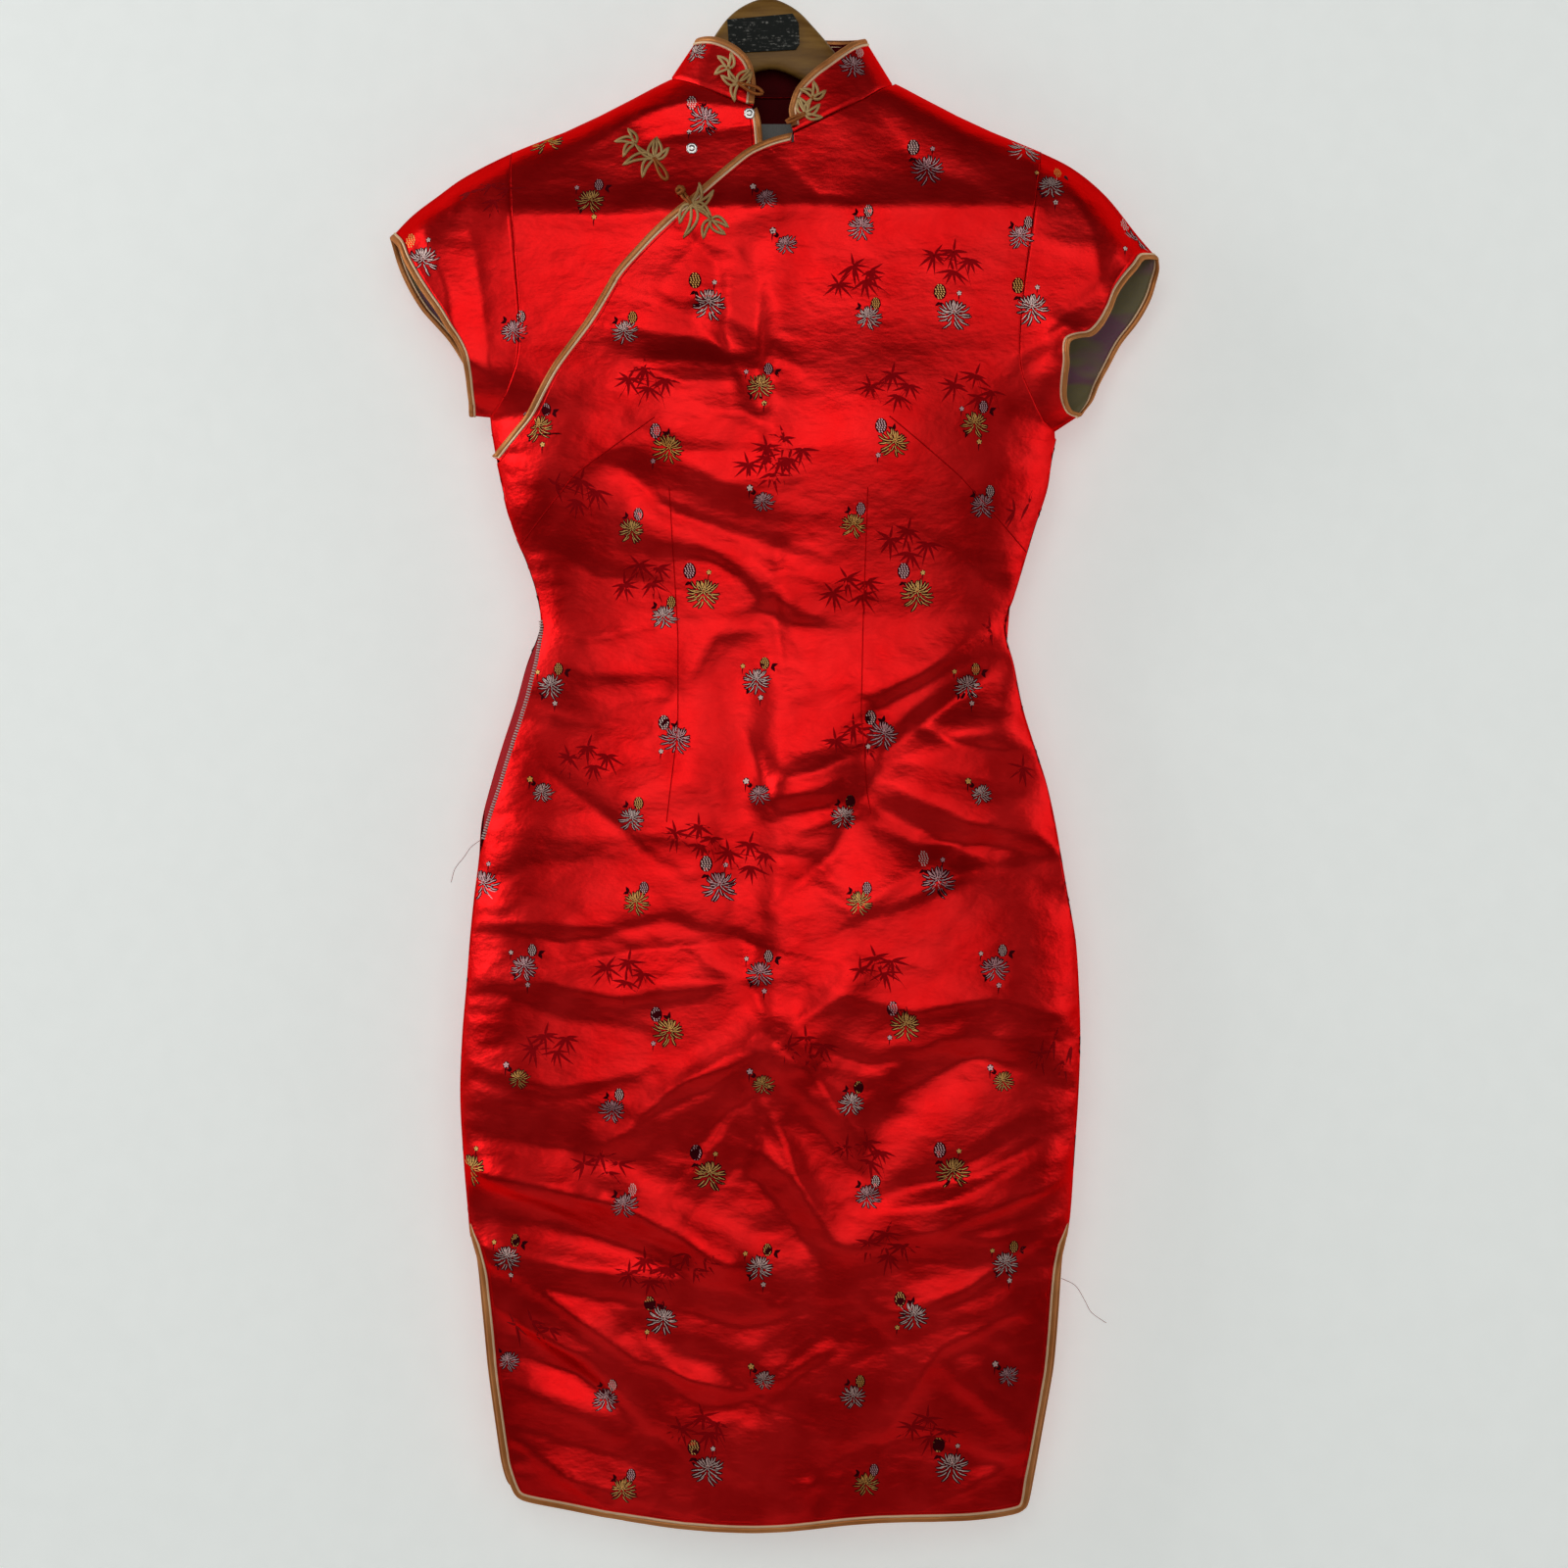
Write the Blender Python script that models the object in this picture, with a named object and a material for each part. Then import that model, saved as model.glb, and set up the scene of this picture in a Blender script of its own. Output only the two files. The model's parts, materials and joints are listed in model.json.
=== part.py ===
"""A short cheongsam of red brocade on a wooden hanger, in metres, +Z up, its front facing -Y.

The origin is where a rod bears under the top of the hook. Each layer of cloth is a wall that
stands off the middle plane y = 0 by a depth worked out from its place on the body. Tables are
in millimetres: x from the centre line, and the drop below the origin.
"""

import math

import bmesh
import bpy
from mathutils import Vector
from mathutils.bvhtree import BVHTree
from mathutils.geometry import delaunay_2d_cdt

MM = 0.001

# Cloth and trims
WALL = 1.6
UNDERLAP_WALL = 1.2
COLLAR_WALL = 2.0
MAX_SLANT = 1.8
SEAM_GAP = 0.3
HALF_GAP = SEAM_GAP / 2
NECK_EASE = 2.1
BACK_NECK_EASE = 1.4
LAP_STEP = 3.4
LAP_FULL = 34.0
LAP_END = 70.0
BINDING_WIDTH = 5.0
BINDING_THICK = 2.2
PIPING_WIDTH = 1.6
PIPING_THICK = 1.8
PIPING_NEAR = BINDING_WIDTH + SEAM_GAP
TRIM_WIDTH = PIPING_NEAR + PIPING_WIDTH + SEAM_GAP
UNDERLAP_BINDING_THICK = 1.6
BINDING_SECTION = [(0.0, 0.0), (0.22, 0.5), (0.78, 0.5), (1.0, 0.0), (0.78, -0.5), (0.22, -0.5)]
PIPING_SECTION = [(0.0, 0.0), (0.5, 0.5), (1.0, 0.0), (0.5, -0.5)]
CUFF_BINDING_WIDTH = 3.6
CUFF_PIPING_WIDTH = 1.4
CUFF_GAP = 0.7
CUFF_PIPING_NEAR = CUFF_BINDING_WIDTH + CUFF_GAP
CUFF_TRIM = CUFF_PIPING_NEAR + CUFF_PIPING_WIDTH + CUFF_GAP
SLIT_TOP = 977.0

# How far apart the points of the pieces lie
FRONT_SPACING = 25.0
UNDERLAP_SPACING = 16.0
BACK_SPACING = 36.0
EDGE_SPACING = 24.0
RIM_ROWS = (6.0, 15.0)

# The two large panels are cut across into solids, so that collision follows each closely
PANEL_BANDS = {
    "yoke": (90.0, 212.0), "bust": (212.0, 390.0), "waist": (390.0, 770.0), "skirt": (770.0, 1200.0),
}
ARM_STATIONS = 21
OVERLAP_STATIONS = 34

# Side seams: drop, left edge, right edge. Above the armpits they are the lines that the depth
# of the sleeves follows.
SIDES = [
    (150.0, -310.0, 310.0), (250.0, -300.0, 300.0), (330.0, -262.0, 266.0), (355.0, -232.0, 238.0),
    (373.0, -208.5, 219.0), (383.0, -206.6, 212.4), (403.2, -203.0, 207.4), (426.2, -198.0, 203.8),
    (455.0, -190.8, 194.4), (483.8, -179.3, 185.8), (505.4, -172.8, 179.3), (527.0, -170.6, 172.4),
    (555.8, -180.7, 179.3), (584.6, -188.6, 185.0), (613.4, -198.0, 193.7), (642.2, -206.6, 203.0),
    (671.0, -213.8, 209.5), (699.8, -216.0, 214.6), (728.6, -219.6, 219.6), (757.4, -222.5, 224.6),
    (786.2, -224.6, 226.8), (829.4, -228.2, 228.2), (872.6, -229.7, 226.8), (915.8, -227.5, 223.9),
    (959.0, -223.9, 221.0), (977.0, -221.8, 218.2), (1002.2, -214.6, 212.4), (1074.2, -207.4, 206.6),
    (1146.2, -197.3, 193.7), (1180.0, -190.0, 188.0),
]
LEFT_ARMPIT_DROP = 373.0
RIGHT_ARMPIT_DROP = 383.8

# Top of the shoulders and, across the neck, the line that the depth there is measured from
TOP = [
    (-281.5, 241.2), (-265.7, 224.6), (-247.0, 210.2), (-226.8, 195.8), (-191.5, 177.8), (-149.8, 161.3),
    (-113.8, 144.0), (-74.9, 123.8), (-40.0, 112.0), (0.0, 108.0), (50.0, 112.0), (90.0, 126.0),
    (113.8, 138.2), (147.6, 155.5), (174.2, 167.0), (198.7, 177.1), (223.9, 190.1), (247.7, 210.2),
    (270.7, 239.0), (285.8, 256.3),
]
NECK_CORNERS = (-76.0, 91.6)

# Seams where the sleeves meet the body, shoulder to armpit: x, drop
ARMHOLES = {
    "left": [
        (-191.5, 177.8), (-190.8, 195.8), (-188.4, 229.0), (-185.8, 260.6), (-183.6, 286.6),
        (-182.2, 312.5), (-184.0, 335.5), (-188.4, 347.8), (-195.3, 361.4), (-207.5, 373.0),
    ],
    "right": [
        (198.7, 177.1), (196.9, 188.6), (191.5, 220.3), (187.2, 251.6), (183.6, 277.9),
        (180.4, 312.5), (180.0, 333.4), (182.9, 347.8), (190.8, 363.3), (199.4, 377.3), (208.8, 383.8),
    ],
}

# Finished edges of the sleeves, top fold to underarm: x, drop
CUFFS = {
    ("left", "front"): [
        (-281.5, 241.2), (-274.0, 249.7), (-268.8, 261.2), (-261.4, 274.4), (-253.4, 286.8),
        (-244.1, 299.8), (-236.2, 312.6), (-230.1, 321.8), (-225.4, 331.8), (-223.6, 342.4),
        (-223.2, 354.2), (-223.2, 371.5),
    ],
    ("left", "back"): [
        (-281.5, 241.2), (-276.8, 259.2), (-270.0, 275.0), (-259.9, 291.6), (-249.8, 303.1),
        (-240.5, 313.6), (-232.6, 325.4), (-225.4, 338.8), (-223.2, 348.6), (-223.2, 371.5),
    ],
    ("right", "front"): [
        (285.8, 256.3), (274.3, 258.5), (267.8, 267.1), (258.8, 277.9), (252.0, 288.0), (247.0, 300.2),
        (239.8, 312.5), (232.6, 319.4), (223.9, 321.1), (216.7, 324.0), (215.3, 330.5), (216.0, 338.8),
        (215.3, 349.9), (216.0, 361.4), (221.0, 368.6), (229.7, 370.1),
    ],
    ("right", "back"): [
        (285.8, 256.3), (287.3, 262.1), (285.8, 270.7), (281.5, 284.8), (272.9, 300.2), (260.6, 316.1),
        (252.0, 331.9), (243.4, 347.8), (238.0, 360.0), (229.7, 370.1),
    ],
}
# How the stations crowd along each cuff, so that the sleeve's lines meet its edge squarely
CUFF_PACE = {("left", "front"): 1.0, ("left", "back"): 1.0, ("right", "front"): 0.76, ("right", "back"): 1.0}
# How far each cuff's edge stands open, beyond the depth of the cloth there
CUFF_GAPE = {("left", "front"): 5.0, ("left", "back"): 3.0, ("right", "front"): 14.0, ("right", "back"): 10.0}

# Depth of each layer's inner face at mid-width: drop, depth
BULGES = {
    "front": [
        (120.0, 20.0), (200.0, 18.0), (300.0, 30.0), (400.0, 40.0), (500.0, 28.0), (530.0, 24.0),
        (650.0, 30.0), (800.0, 36.0), (1000.0, 28.0), (1190.0, 16.0),
    ],
    "back": [
        (120.0, 18.0), (200.0, 15.0), (400.0, 14.0), (530.0, 10.0), (800.0, 16.0), (1000.0, 14.0),
        (1190.0, 10.0),
    ],
}
SIDE_REACH = 50.0
TOP_REACH = 12.0
FOLD_CALM = 20.0
TOP_SLANT = 0.88
BUSTS = [(-70.0, 376.0), (85.0, 383.0)]
BUST_HEIGHT = 8.0
BUST_REACH = 60.0

# How far the edges of the slits spread: the layer, depth
SLIT_SPREAD = {"front": 3.0, "back": 2.0}
SLIT_SPREAD_DROPS = (955.0, 992.0)

# Largest folds of the front: x and drop of both ends, height (a trough is negative), half-width
FRONT_FOLDS = [
    (-188.0, 230.0, 190.0, 224.0, 2.0, 14.0),
    (2.0, 200.0, 6.0, 1170.0, 1.5, 12.0),
    (-105.0, 415.0, 0.0, 470.0, -3.0, 15.0),
    (-100.0, 450.0, -5.0, 500.0, 3.0, 15.0),
    (66.0, 640.0, 165.0, 555.0, -5.0, 17.0),
    (110.0, 610.0, 215.0, 600.0, 4.0, 17.0),
    (0.0, 655.0, 62.0, 630.0, 4.0, 13.0),
    (85.0, 665.0, 215.0, 715.0, -5.0, 17.0),
    (-25.0, 560.0, -12.0, 760.0, -4.0, 22.0),
    (-180.0, 590.0, -80.0, 570.0, -3.0, 17.0),
    (-200.0, 690.0, -60.0, 640.0, 3.0, 19.0),
    (-10.0, 880.0, 60.0, 785.0, 4.0, 16.0),
    (-120.0, 905.0, 0.0, 830.0, 5.0, 16.0),
    (0.0, 835.0, 58.0, 900.0, 5.0, 15.0),
    (70.0, 900.0, 150.0, 840.0, -4.0, 16.0),
    (-5.0, 910.0, 50.0, 975.0, 4.0, 15.0),
    (-225.0, 930.0, -120.0, 940.0, 4.0, 15.0),
    (-120.0, 940.0, -30.0, 988.0, 6.0, 16.0),
    (-210.0, 965.0, -70.0, 985.0, -5.0, 15.0),
    (70.0, 970.0, 215.0, 925.0, 5.0, 19.0),
    (-205.0, 1035.0, -85.0, 1110.0, -5.0, 17.0),
    (-190.0, 1085.0, -80.0, 1108.0, 4.0, 16.0),
    (-100.0, 1040.0, -20.0, 1084.0, -4.0, 15.0),
    (-20.0, 1084.0, 38.0, 1044.0, -4.0, 15.0),
    (150.0, 1075.0, 195.0, 1130.0, 4.0, 16.0),
]
# Softer folds of the back, of the same kind
BACK_FOLDS = [
    (-150.0, 420.0, 20.0, 480.0, 3.0, 22.0),
    (30.0, 560.0, 170.0, 640.0, 3.0, 24.0),
    (-180.0, 700.0, -20.0, 760.0, -3.0, 24.0),
    (10.0, 850.0, 190.0, 930.0, 3.5, 26.0),
    (-190.0, 980.0, -20.0, 1060.0, 3.0, 26.0),
    (20.0, 1000.0, 120.0, 1150.0, -3.0, 26.0),
]

# Finished outer edge of the overlap, throat to side seam: x, drop
OVERLAP_EDGE = [
    (15.1, 170.3), (1.4, 173.5), (-17.3, 181.4), (-38.9, 200.2), (-61.2, 221.8), (-87.1, 244.1),
    (-112.3, 271.4), (-132.5, 306.0), (-158.4, 340.6), (-177.8, 373.7), (-200.2, 396.7), (-205.9, 401.8),
]
# Finished front edge of the underlap, bottom to throat
UNDERLAP_EDGE = [(-4.3, 203.0), (-5.0, 190.0), (-6.0, 176.2), (-7.0, 164.0), (-7.6, 154.8), (-10.4, 150.8)]
# Hidden edge of the underlap beneath the overlap, side seam to the front edge
UNDERLAP_HIDDEN = [
    (-188.0, 412.0), (-158.0, 392.0), (-135.0, 357.0), (-109.0, 322.0), (-88.0, 290.0), (-66.0, 265.0),
    (-42.0, 243.0), (-20.0, 222.0), (-4.0, 210.0),
]
UNDERLAP_SIDE_END = 402.0

# Hems, left to right: the front's, then the back's, finished edges with the corners
FRONT_HEM = [
    (-188.6, 1170.0), (-169.0, 1172.5), (-149.0, 1175.0), (-130.0, 1178.0), (-110.9, 1180.8), (-87.0, 1184.5),
    (-64.1, 1187.3), (-38.0, 1189.3), (-12.2, 1190.2), (10.0, 1189.2), (31.0, 1187.3), (55.0, 1184.5),
    (77.8, 1183.0), (101.0, 1182.6), (124.0, 1182.8), (146.9, 1183.0), (168.0, 1181.8), (188.6, 1179.4),
]
BACK_HEM = [
    (-194.4, 1164.2), (-171.0, 1168.0), (-149.0, 1171.5), (-124.0, 1175.5), (-98.0, 1179.5), (-64.0, 1184.5),
    (-30.0, 1188.0), (0.0, 1190.0), (31.0, 1190.9), (55.0, 1191.0), (77.8, 1190.9), (98.0, 1190.0),
    (117.4, 1188.7), (135.0, 1187.6), (153.4, 1186.6), (171.0, 1184.4), (189.4, 1181.5),
]
FRONT_SLITS = {
    "left": [(-218.6, 986.0), (-214.6, 1002.2), (-212.0, 1026.0), (-209.6, 1050.0), (-207.4, 1074.2),
             (-204.2, 1098.0), (-200.8, 1122.0), (-197.3, 1146.2)],
    "right": [(191.5, 1158.0), (193.7, 1146.2), (198.0, 1122.0), (202.4, 1098.0), (206.6, 1074.2),
              (208.8, 1050.0), (210.6, 1026.0), (212.4, 1002.2), (215.6, 986.0)],
}
BACK_SLIT_MARGIN = 2.4

# Collar stations from one front end round the back to the other: x and drop of its base, x and
# drop of its top, and the depth of the base there where the panels don't give it.
COLLAR = [
    (-21.6, 145.4, -15.1, 116.6), (-33.8, 140.4, -25.2, 105.1), (-51.8, 131.8, -38.9, 97.6),
    (-64.0, 126.0, -48.0, 95.0), (-73.4, 121.7, -54.7, 94.0), (-66.0, 124.4, -50.0, 92.6),
    (-50.0, 127.0, -39.0, 91.2), (-24.0, 129.2, -19.0, 90.2), (4.0, 130.0, 6.0, 90.0),
    (30.0, 129.2, 29.0, 90.4), (55.0, 127.4, 50.0, 91.6), (77.0, 125.8, 64.0, 93.0),
    (89.3, 126.7, 69.1, 94.0), (79.0, 134.0, 60.0, 100.0), (67.0, 142.6, 49.7, 108.0),
    (56.0, 148.6, 39.6, 116.4), (45.4, 154.1, 29.5, 124.6), (28.1, 162.7, 18.0, 137.5),
]
COLLAR_FOLDS = (4, 12)
COLLAR_ENDS = {"left": (-13.0, 148.3, -11.5, 132.5), "right": (15.8, 168.5, 13.0, 152.6)}
COLLAR_LEAN = 0.85

# Zip tape under the left side: drop, how far its outer edge lies inside the side seam
ZIP_TAPE = [
    (418.0, 7.0), (450.0, 7.0), (480.0, 7.0), (505.0, 7.0), (524.0, 4.0), (540.0, 1.0), (560.0, 0.6),
    (585.0, 0.6), (610.0, 0.6), (635.0, 0.6), (660.0, 0.6), (676.0, 2.0), (690.0, 7.0), (700.0, 7.0),
]
ZIP_TAPE_WIDTH = 16.0
ZIP_TAPE_WALL = 1.0
ZIP_TAPE_DEPTH = 0.5
# How far the front's edge stands back from the side seam, so that the zip shows: drop, setback
ZIP_SETBACK = [
    (300.0, 0.0), (515.0, 0.0), (545.0, 7.0), (600.0, 8.5), (660.0, 8.0), (676.0, 5.0), (698.0, 0.0),
]

SNAPS = {"snap_collar": (-15.8, 155.4), "snap_chest": (-57.6, 181.4)}
SNAP_RADIUS = 4.2
SNAP_THICK = 1.8
NECK_LABEL = (-8.0, 152.0, 24.0, 167.0)
LABEL_WALL = 1.0
LABEL_GAP = 0.8

# Frogs: root, then leaves (length, degrees above +X) and those of a second root at the stem's end
FROGS = {
    "frog_knot_chest": {
        "root": (-57.6, 226.1), "stem": (18.0, -37.0),
        "leaves": [(14.0, 53.0), (17.0, 12.0), (15.4, -17.0), (23.0, -83.0), (14.7, -141.0), (14.0, 118.0)],
        "tip_leaves": [(12.2, -13.0), (14.2, -61.0), (13.8, -127.0)],
    },
    "frog_loop_chest": {
        "root": (-85.0, 188.6), "stem": (18.0, 142.0),
        "leaves": [(20.0, -60.0), (14.6, 66.0), (11.5, 23.0), (13.2, 110.0), (22.0, 180.0), (15.0, -132.0)],
        "tip_leaves": [(10.6, 108.0), (13.6, 156.0), (11.9, 215.0)],
    },
    "frog_loop_collar": {
        "root": (-24.0, 134.0), "stem": (12.0, 128.0),
        "leaves": [(19.0, -22.0), (10.0, 70.0), (12.0, 178.0), (10.0, -130.0)],
        "tip_leaves": [(9.0, 60.0), (10.0, 115.0), (9.0, 190.0)],
    },
    "frog_knot_collar": {
        "root": (25.0, 156.5), "stem": (13.0, 62.0),
        "leaves": [(15.0, -156.0), (10.0, -20.0), (11.0, 20.0), (9.0, 135.0), (10.0, -75.0)],
        "tip_leaves": [(9.0, 20.0), (9.5, 70.0), (9.0, 130.0)],
    },
}
LEAF_WIDTH = 3.4
LEAF_THICK = 1.8
KNOT_RADIUS = 2.6

# Hanger: x, drop of the wood's upper edge near the neck; the arms then follow the shoulders
HANGER_TOP = [
    (-72.7, 133.0), (-54.0, 110.0), (-43.2, 93.6), (-35.3, 81.4), (-27.4, 73.4), (-17.3, 67.0),
    (-2.9, 61.9), (10.8, 67.0), (20.9, 73.4), (28.1, 81.4), (34.6, 88.6), (42.5, 97.6), (48.2, 105.8),
    (67.0, 121.0), (90.0, 138.0),
]
HANGER_ARMS = [-186.0, -176.0, -160.0, -140.0, -120.0, -98.0, 112.0, 132.0, 152.0, 172.0, 188.0]
ARM_UNDER_SHOULDER = 6.0
ARM_HEIGHT = 19.5
HANGER_APEX_DROP = 111.6
HANGER_APEX_X = -2.2
HANGER_APEX_SLOPE = 0.5
HANGER_THICK = 12.0
HANGER_BEVEL = 3.5
PLAQUE = [
    (-32.4, 81.4), (15.8, 77.0), (20.2, 84.2), (20.9, 99.4), (18.0, 103.7), (-22.3, 105.8), (-31.3, 97.6),
]
PLAQUE_THICK = 1.0
HOOK_WIRE = 1.6
HOOK_INNER = 19.0
HOOK_ARC = (205.0, -50.0)
HOOK_NECK = [(6.0, 40.5), (1.6, 45.6), (0.0, 50.5), (0.0, 56.0), (0.0, 61.6)]


# Curves and tables


def column(rows, index):
    return [row[index] for row in rows]


def smooth(at, knots, values):
    """Read a table at a place: a cubic between rows, each row's slope taken from its neighbours."""
    last = len(knots) - 1
    at = min(max(at, knots[0]), knots[last])
    i = next((k for k in range(1, last) if knots[k] > at), last) - 1

    def slope(k):
        a = max(k - 1, 0)
        b = min(k + 1, last)
        return (values[b] - values[a]) / (knots[b] - knots[a])

    span = knots[i + 1] - knots[i]
    t = (at - knots[i]) / span
    rise_part = (3 - 2 * t) * t * t
    start_part = t * (1 - t) ** 2 * span * slope(i)
    end_part = t * t * (t - 1) * span * slope(i + 1)
    return values[i] + (values[i + 1] - values[i]) * rise_part + start_part + end_part


def ramp(at, start, end):
    """Ease from 0 at start to 1 at end."""
    t = min(max((at - start) / (end - start), 0.0), 1.0)
    return t * t * (3 - 2 * t)


def resample(points, count, pace=1.0):
    """Read count points along a smooth curve through the given ones, at even steps where pace is 1."""
    along = [0.0]
    for a, b in zip(points, points[1:]):
        along.append(along[-1] + math.dist(a, b))
    steps = [along[-1] * (k / (count - 1)) ** pace for k in range(count)]
    return [tuple(smooth(s, along, column(points, axis)) for axis in range(len(points[0]))) for s in steps]


def nearest(points, x, drop):
    """Distance from a place to a polyline."""
    best = math.inf
    for (ax, ad), (bx, bd) in zip(points, points[1:]):
        lx, ld = bx - ax, bd - ad
        t = min(max(((x - ax) * lx + (drop - ad) * ld) / (lx * lx + ld * ld), 0.0), 1.0)
        best = min(best, math.hypot(x - ax - t * lx, drop - ad - t * ld))
    return best


def inset(points, distance):
    """Move a line sideways into its piece, which lies to the left of the way it runs."""
    moved = []
    for i, (x, drop) in enumerate(points):
        normals = []
        for a, b in ((i - 1, i), (i, i + 1)):
            if 0 <= a and b < len(points):
                dx = points[b][0] - points[a][0]
                dd = points[b][1] - points[a][1]
                length = math.hypot(dx, dd)
                normals.append((dd / length, -dx / length))
        nx = sum(n[0] for n in normals)
        nd = sum(n[1] for n in normals)
        scale = distance * len(normals) / (nx * nx + nd * nd)
        moved.append((x + nx * scale, drop + nd * scale))
    return moved


def edge_at(drop, side):
    return smooth(drop, column(SIDES, 0), column(SIDES, 1 if side == "left" else 2))


def top_at(x):
    return smooth(x, column(TOP, 0), column(TOP, 1))


def side_seam(side, start, end):
    """Points down one side seam."""
    count = max(2, round(abs(end - start) / EDGE_SPACING) + 1)
    drops = [start + (end - start) * k / (count - 1) for k in range(count)]
    return [(edge_at(drop, side), drop) for drop in drops]


def shoulder(start, end):
    """Points along the top of a shoulder."""
    count = round(abs(end - start) / EDGE_SPACING) + 1
    return [(x, top_at(x)) for x in (start + (end - start) * k / (count - 1) for k in range(count))]


# Depth of the cloth


def fold_depth(folds, x, drop):
    """Sum of the folds at a place: each is a soft ridge or trough that dies away at its ends."""
    total = 0.0
    for x0, d0, x1, d1, height, half_width in folds:
        lx, ld = x1 - x0, d1 - d0
        length = math.hypot(lx, ld)
        along = ((x - x0) * lx + (drop - d0) * ld) / length
        across = ((x - x0) * ld - (drop - d0) * lx) / length
        over = max(0.0, -along, along - length)
        total += height * math.exp(-(across * across + over * over) / (half_width * half_width))
    return total


def rise(layer, x, drop):
    """Depth of a layer's inner face, without the gap at the seams."""
    face = "back" if layer == "back" else "front"
    from_left = max(x - edge_at(drop, "left"), 0.0)
    from_right = max(edge_at(drop, "right") - x, 0.0)
    from_top = max(drop - top_at(x), 0.0) * TOP_SLANT
    open_sides = (1 - math.exp(-from_left / SIDE_REACH)) * (1 - math.exp(-from_right / SIDE_REACH))
    table = BULGES[face]
    depth = smooth(drop, column(table, 0), column(table, 1))
    if face == "front":
        for bx, bd in BUSTS:
            depth += BUST_HEIGHT * math.exp(-((x - bx) ** 2 + (drop - bd) ** 2) / BUST_REACH ** 2)
    depth *= open_sides * (1 - math.exp(-from_top / TOP_REACH))
    folds = FRONT_FOLDS if face == "front" else BACK_FOLDS
    calm = 1.0
    for distance in (from_left, from_right, from_top):
        calm *= 1 - math.exp(-distance / FOLD_CALM)
    depth += calm * fold_depth(folds, x, drop)
    return max(depth, 0.0) + SLIT_SPREAD[face] * ramp(drop, *SLIT_SPREAD_DROPS)


def lap(layer, x, drop):
    """How much further out the front lies where the underlap is beneath it."""
    if layer != "front" or x > 110.0 or drop > 500.0:
        return 0.0
    return LAP_STEP * (1 - ramp(nearest(OVERLAP_EDGE, x, drop), LAP_FULL, LAP_END))


def slant(layer, x, drop):
    """How many times thicker a wall is along Y than square to the cloth."""
    step = 2.0

    def depth(px, pd):
        return rise(layer, px, pd) + lap(layer, px, pd)

    here = depth(x, drop)
    slopes = ((depth(x + step, drop) - here) / step, (depth(x, drop + step) - here) / step)
    return min(math.sqrt(1 + slopes[0] ** 2 + slopes[1] ** 2), MAX_SLANT)


def inner_depth(layer, x, drop):
    return HALF_GAP + rise(layer, x, drop) + lap(layer, x, drop)


def outer_depth(layer, x, drop):
    wall = UNDERLAP_WALL if layer == "underlap" else WALL
    return inner_depth(layer, x, drop) + wall * slant(layer, x, drop)


def middle_depth(layer, x, drop):
    return (inner_depth(layer, x, drop) + outer_depth(layer, x, drop)) / 2


def facing(layer):
    return 1.0 if layer == "back" else -1.0


def place(x, drop, y):
    return Vector((x, y, -drop)) * MM


# Materials and objects


def material(name, colour, roughness, metallic):
    mat = bpy.data.materials.new(name)
    mat.use_nodes = True
    shader = mat.node_tree.nodes["Principled BSDF"]
    shader.inputs["Base Color"].default_value = (*colour, 1.0)
    shader.inputs["Roughness"].default_value = roughness
    shader.inputs["Metallic"].default_value = metallic
    mat.diffuse_color = (*colour, 1.0)
    return mat


def add_object(name, bm, mat):
    bmesh.ops.recalc_face_normals(bm, faces=bm.faces)
    mesh = bpy.data.meshes.new(name)
    bm.to_mesh(mesh)
    bm.free()
    mesh.materials.append(mat)
    obj = bpy.data.objects.new(name, mesh)
    bpy.context.scene.collection.objects.link(obj)
    return obj


def loft(name, rings, mat):
    """Skin a row of rings, each a list of points, into one closed body."""
    bm = bmesh.new()
    rows = [[bm.verts.new(point) for point in ring] for ring in rings]
    for a, b in zip(rows, rows[1:]):
        for i in range(len(a)):
            j = (i + 1) % len(a)
            bm.faces.new((a[i], a[j], b[j], b[i]))
    bm.faces.new(rows[0][::-1])
    bm.faces.new(rows[-1])
    return add_object(name, bm, mat)


# Pieces of cloth


def inner_points(outline, spacing):
    """Points inside an outline: rows close along its rim, then a hexagonal lattice."""
    closed = outline + [outline[0]]

    def is_inside(x, drop):
        odd = False
        for (ax, ad), (bx, bd) in zip(closed, closed[1:]):
            if (ad > drop) != (bd > drop) and x < ax + (bx - ax) * (drop - ad) / (bd - ad):
                odd = not odd
        return odd

    found = []
    for distance in RIM_ROWS:
        row = inset(closed, distance)[:-1]
        for x, drop in row:
            clear = nearest(closed, x, drop) > distance * 0.85
            if clear and is_inside(x, drop) and all(math.dist((x, drop), p) > distance * 0.8 for p in found):
                found.append((x, drop))
    rim = list(found)
    step = spacing * math.sqrt(3) / 2
    margin = spacing * 0.42
    for row in range(int(100 / step), int(1200 / step)):
        for k in range(-int(260 / spacing), int(260 / spacing) + 1):
            x = (k + 0.5 * (row % 2)) * spacing
            drop = row * step
            if is_inside(x, drop) and nearest(closed, x, drop) > margin:
                if all(math.dist((x, drop), p) > spacing * 0.55 for p in rim):
                    found.append((x, drop))
    return found


def cut_band(wall, start, end):
    """The part of a wall between two drops, its cut ends closed."""
    band = wall.copy()
    for drop, upward in ((start + HALF_GAP, 1), (end - HALF_GAP, -1)):
        bmesh.ops.bisect_plane(
            band, geom=band.verts[:] + band.edges[:] + band.faces[:], dist=1e-7,
            plane_co=place(0.0, drop, 0.0), plane_no=(0, 0, upward), clear_outer=True,
        )
        bmesh.ops.holes_fill(band, edges=[e for e in band.edges if e.is_boundary], sides=0)
    return band


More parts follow.
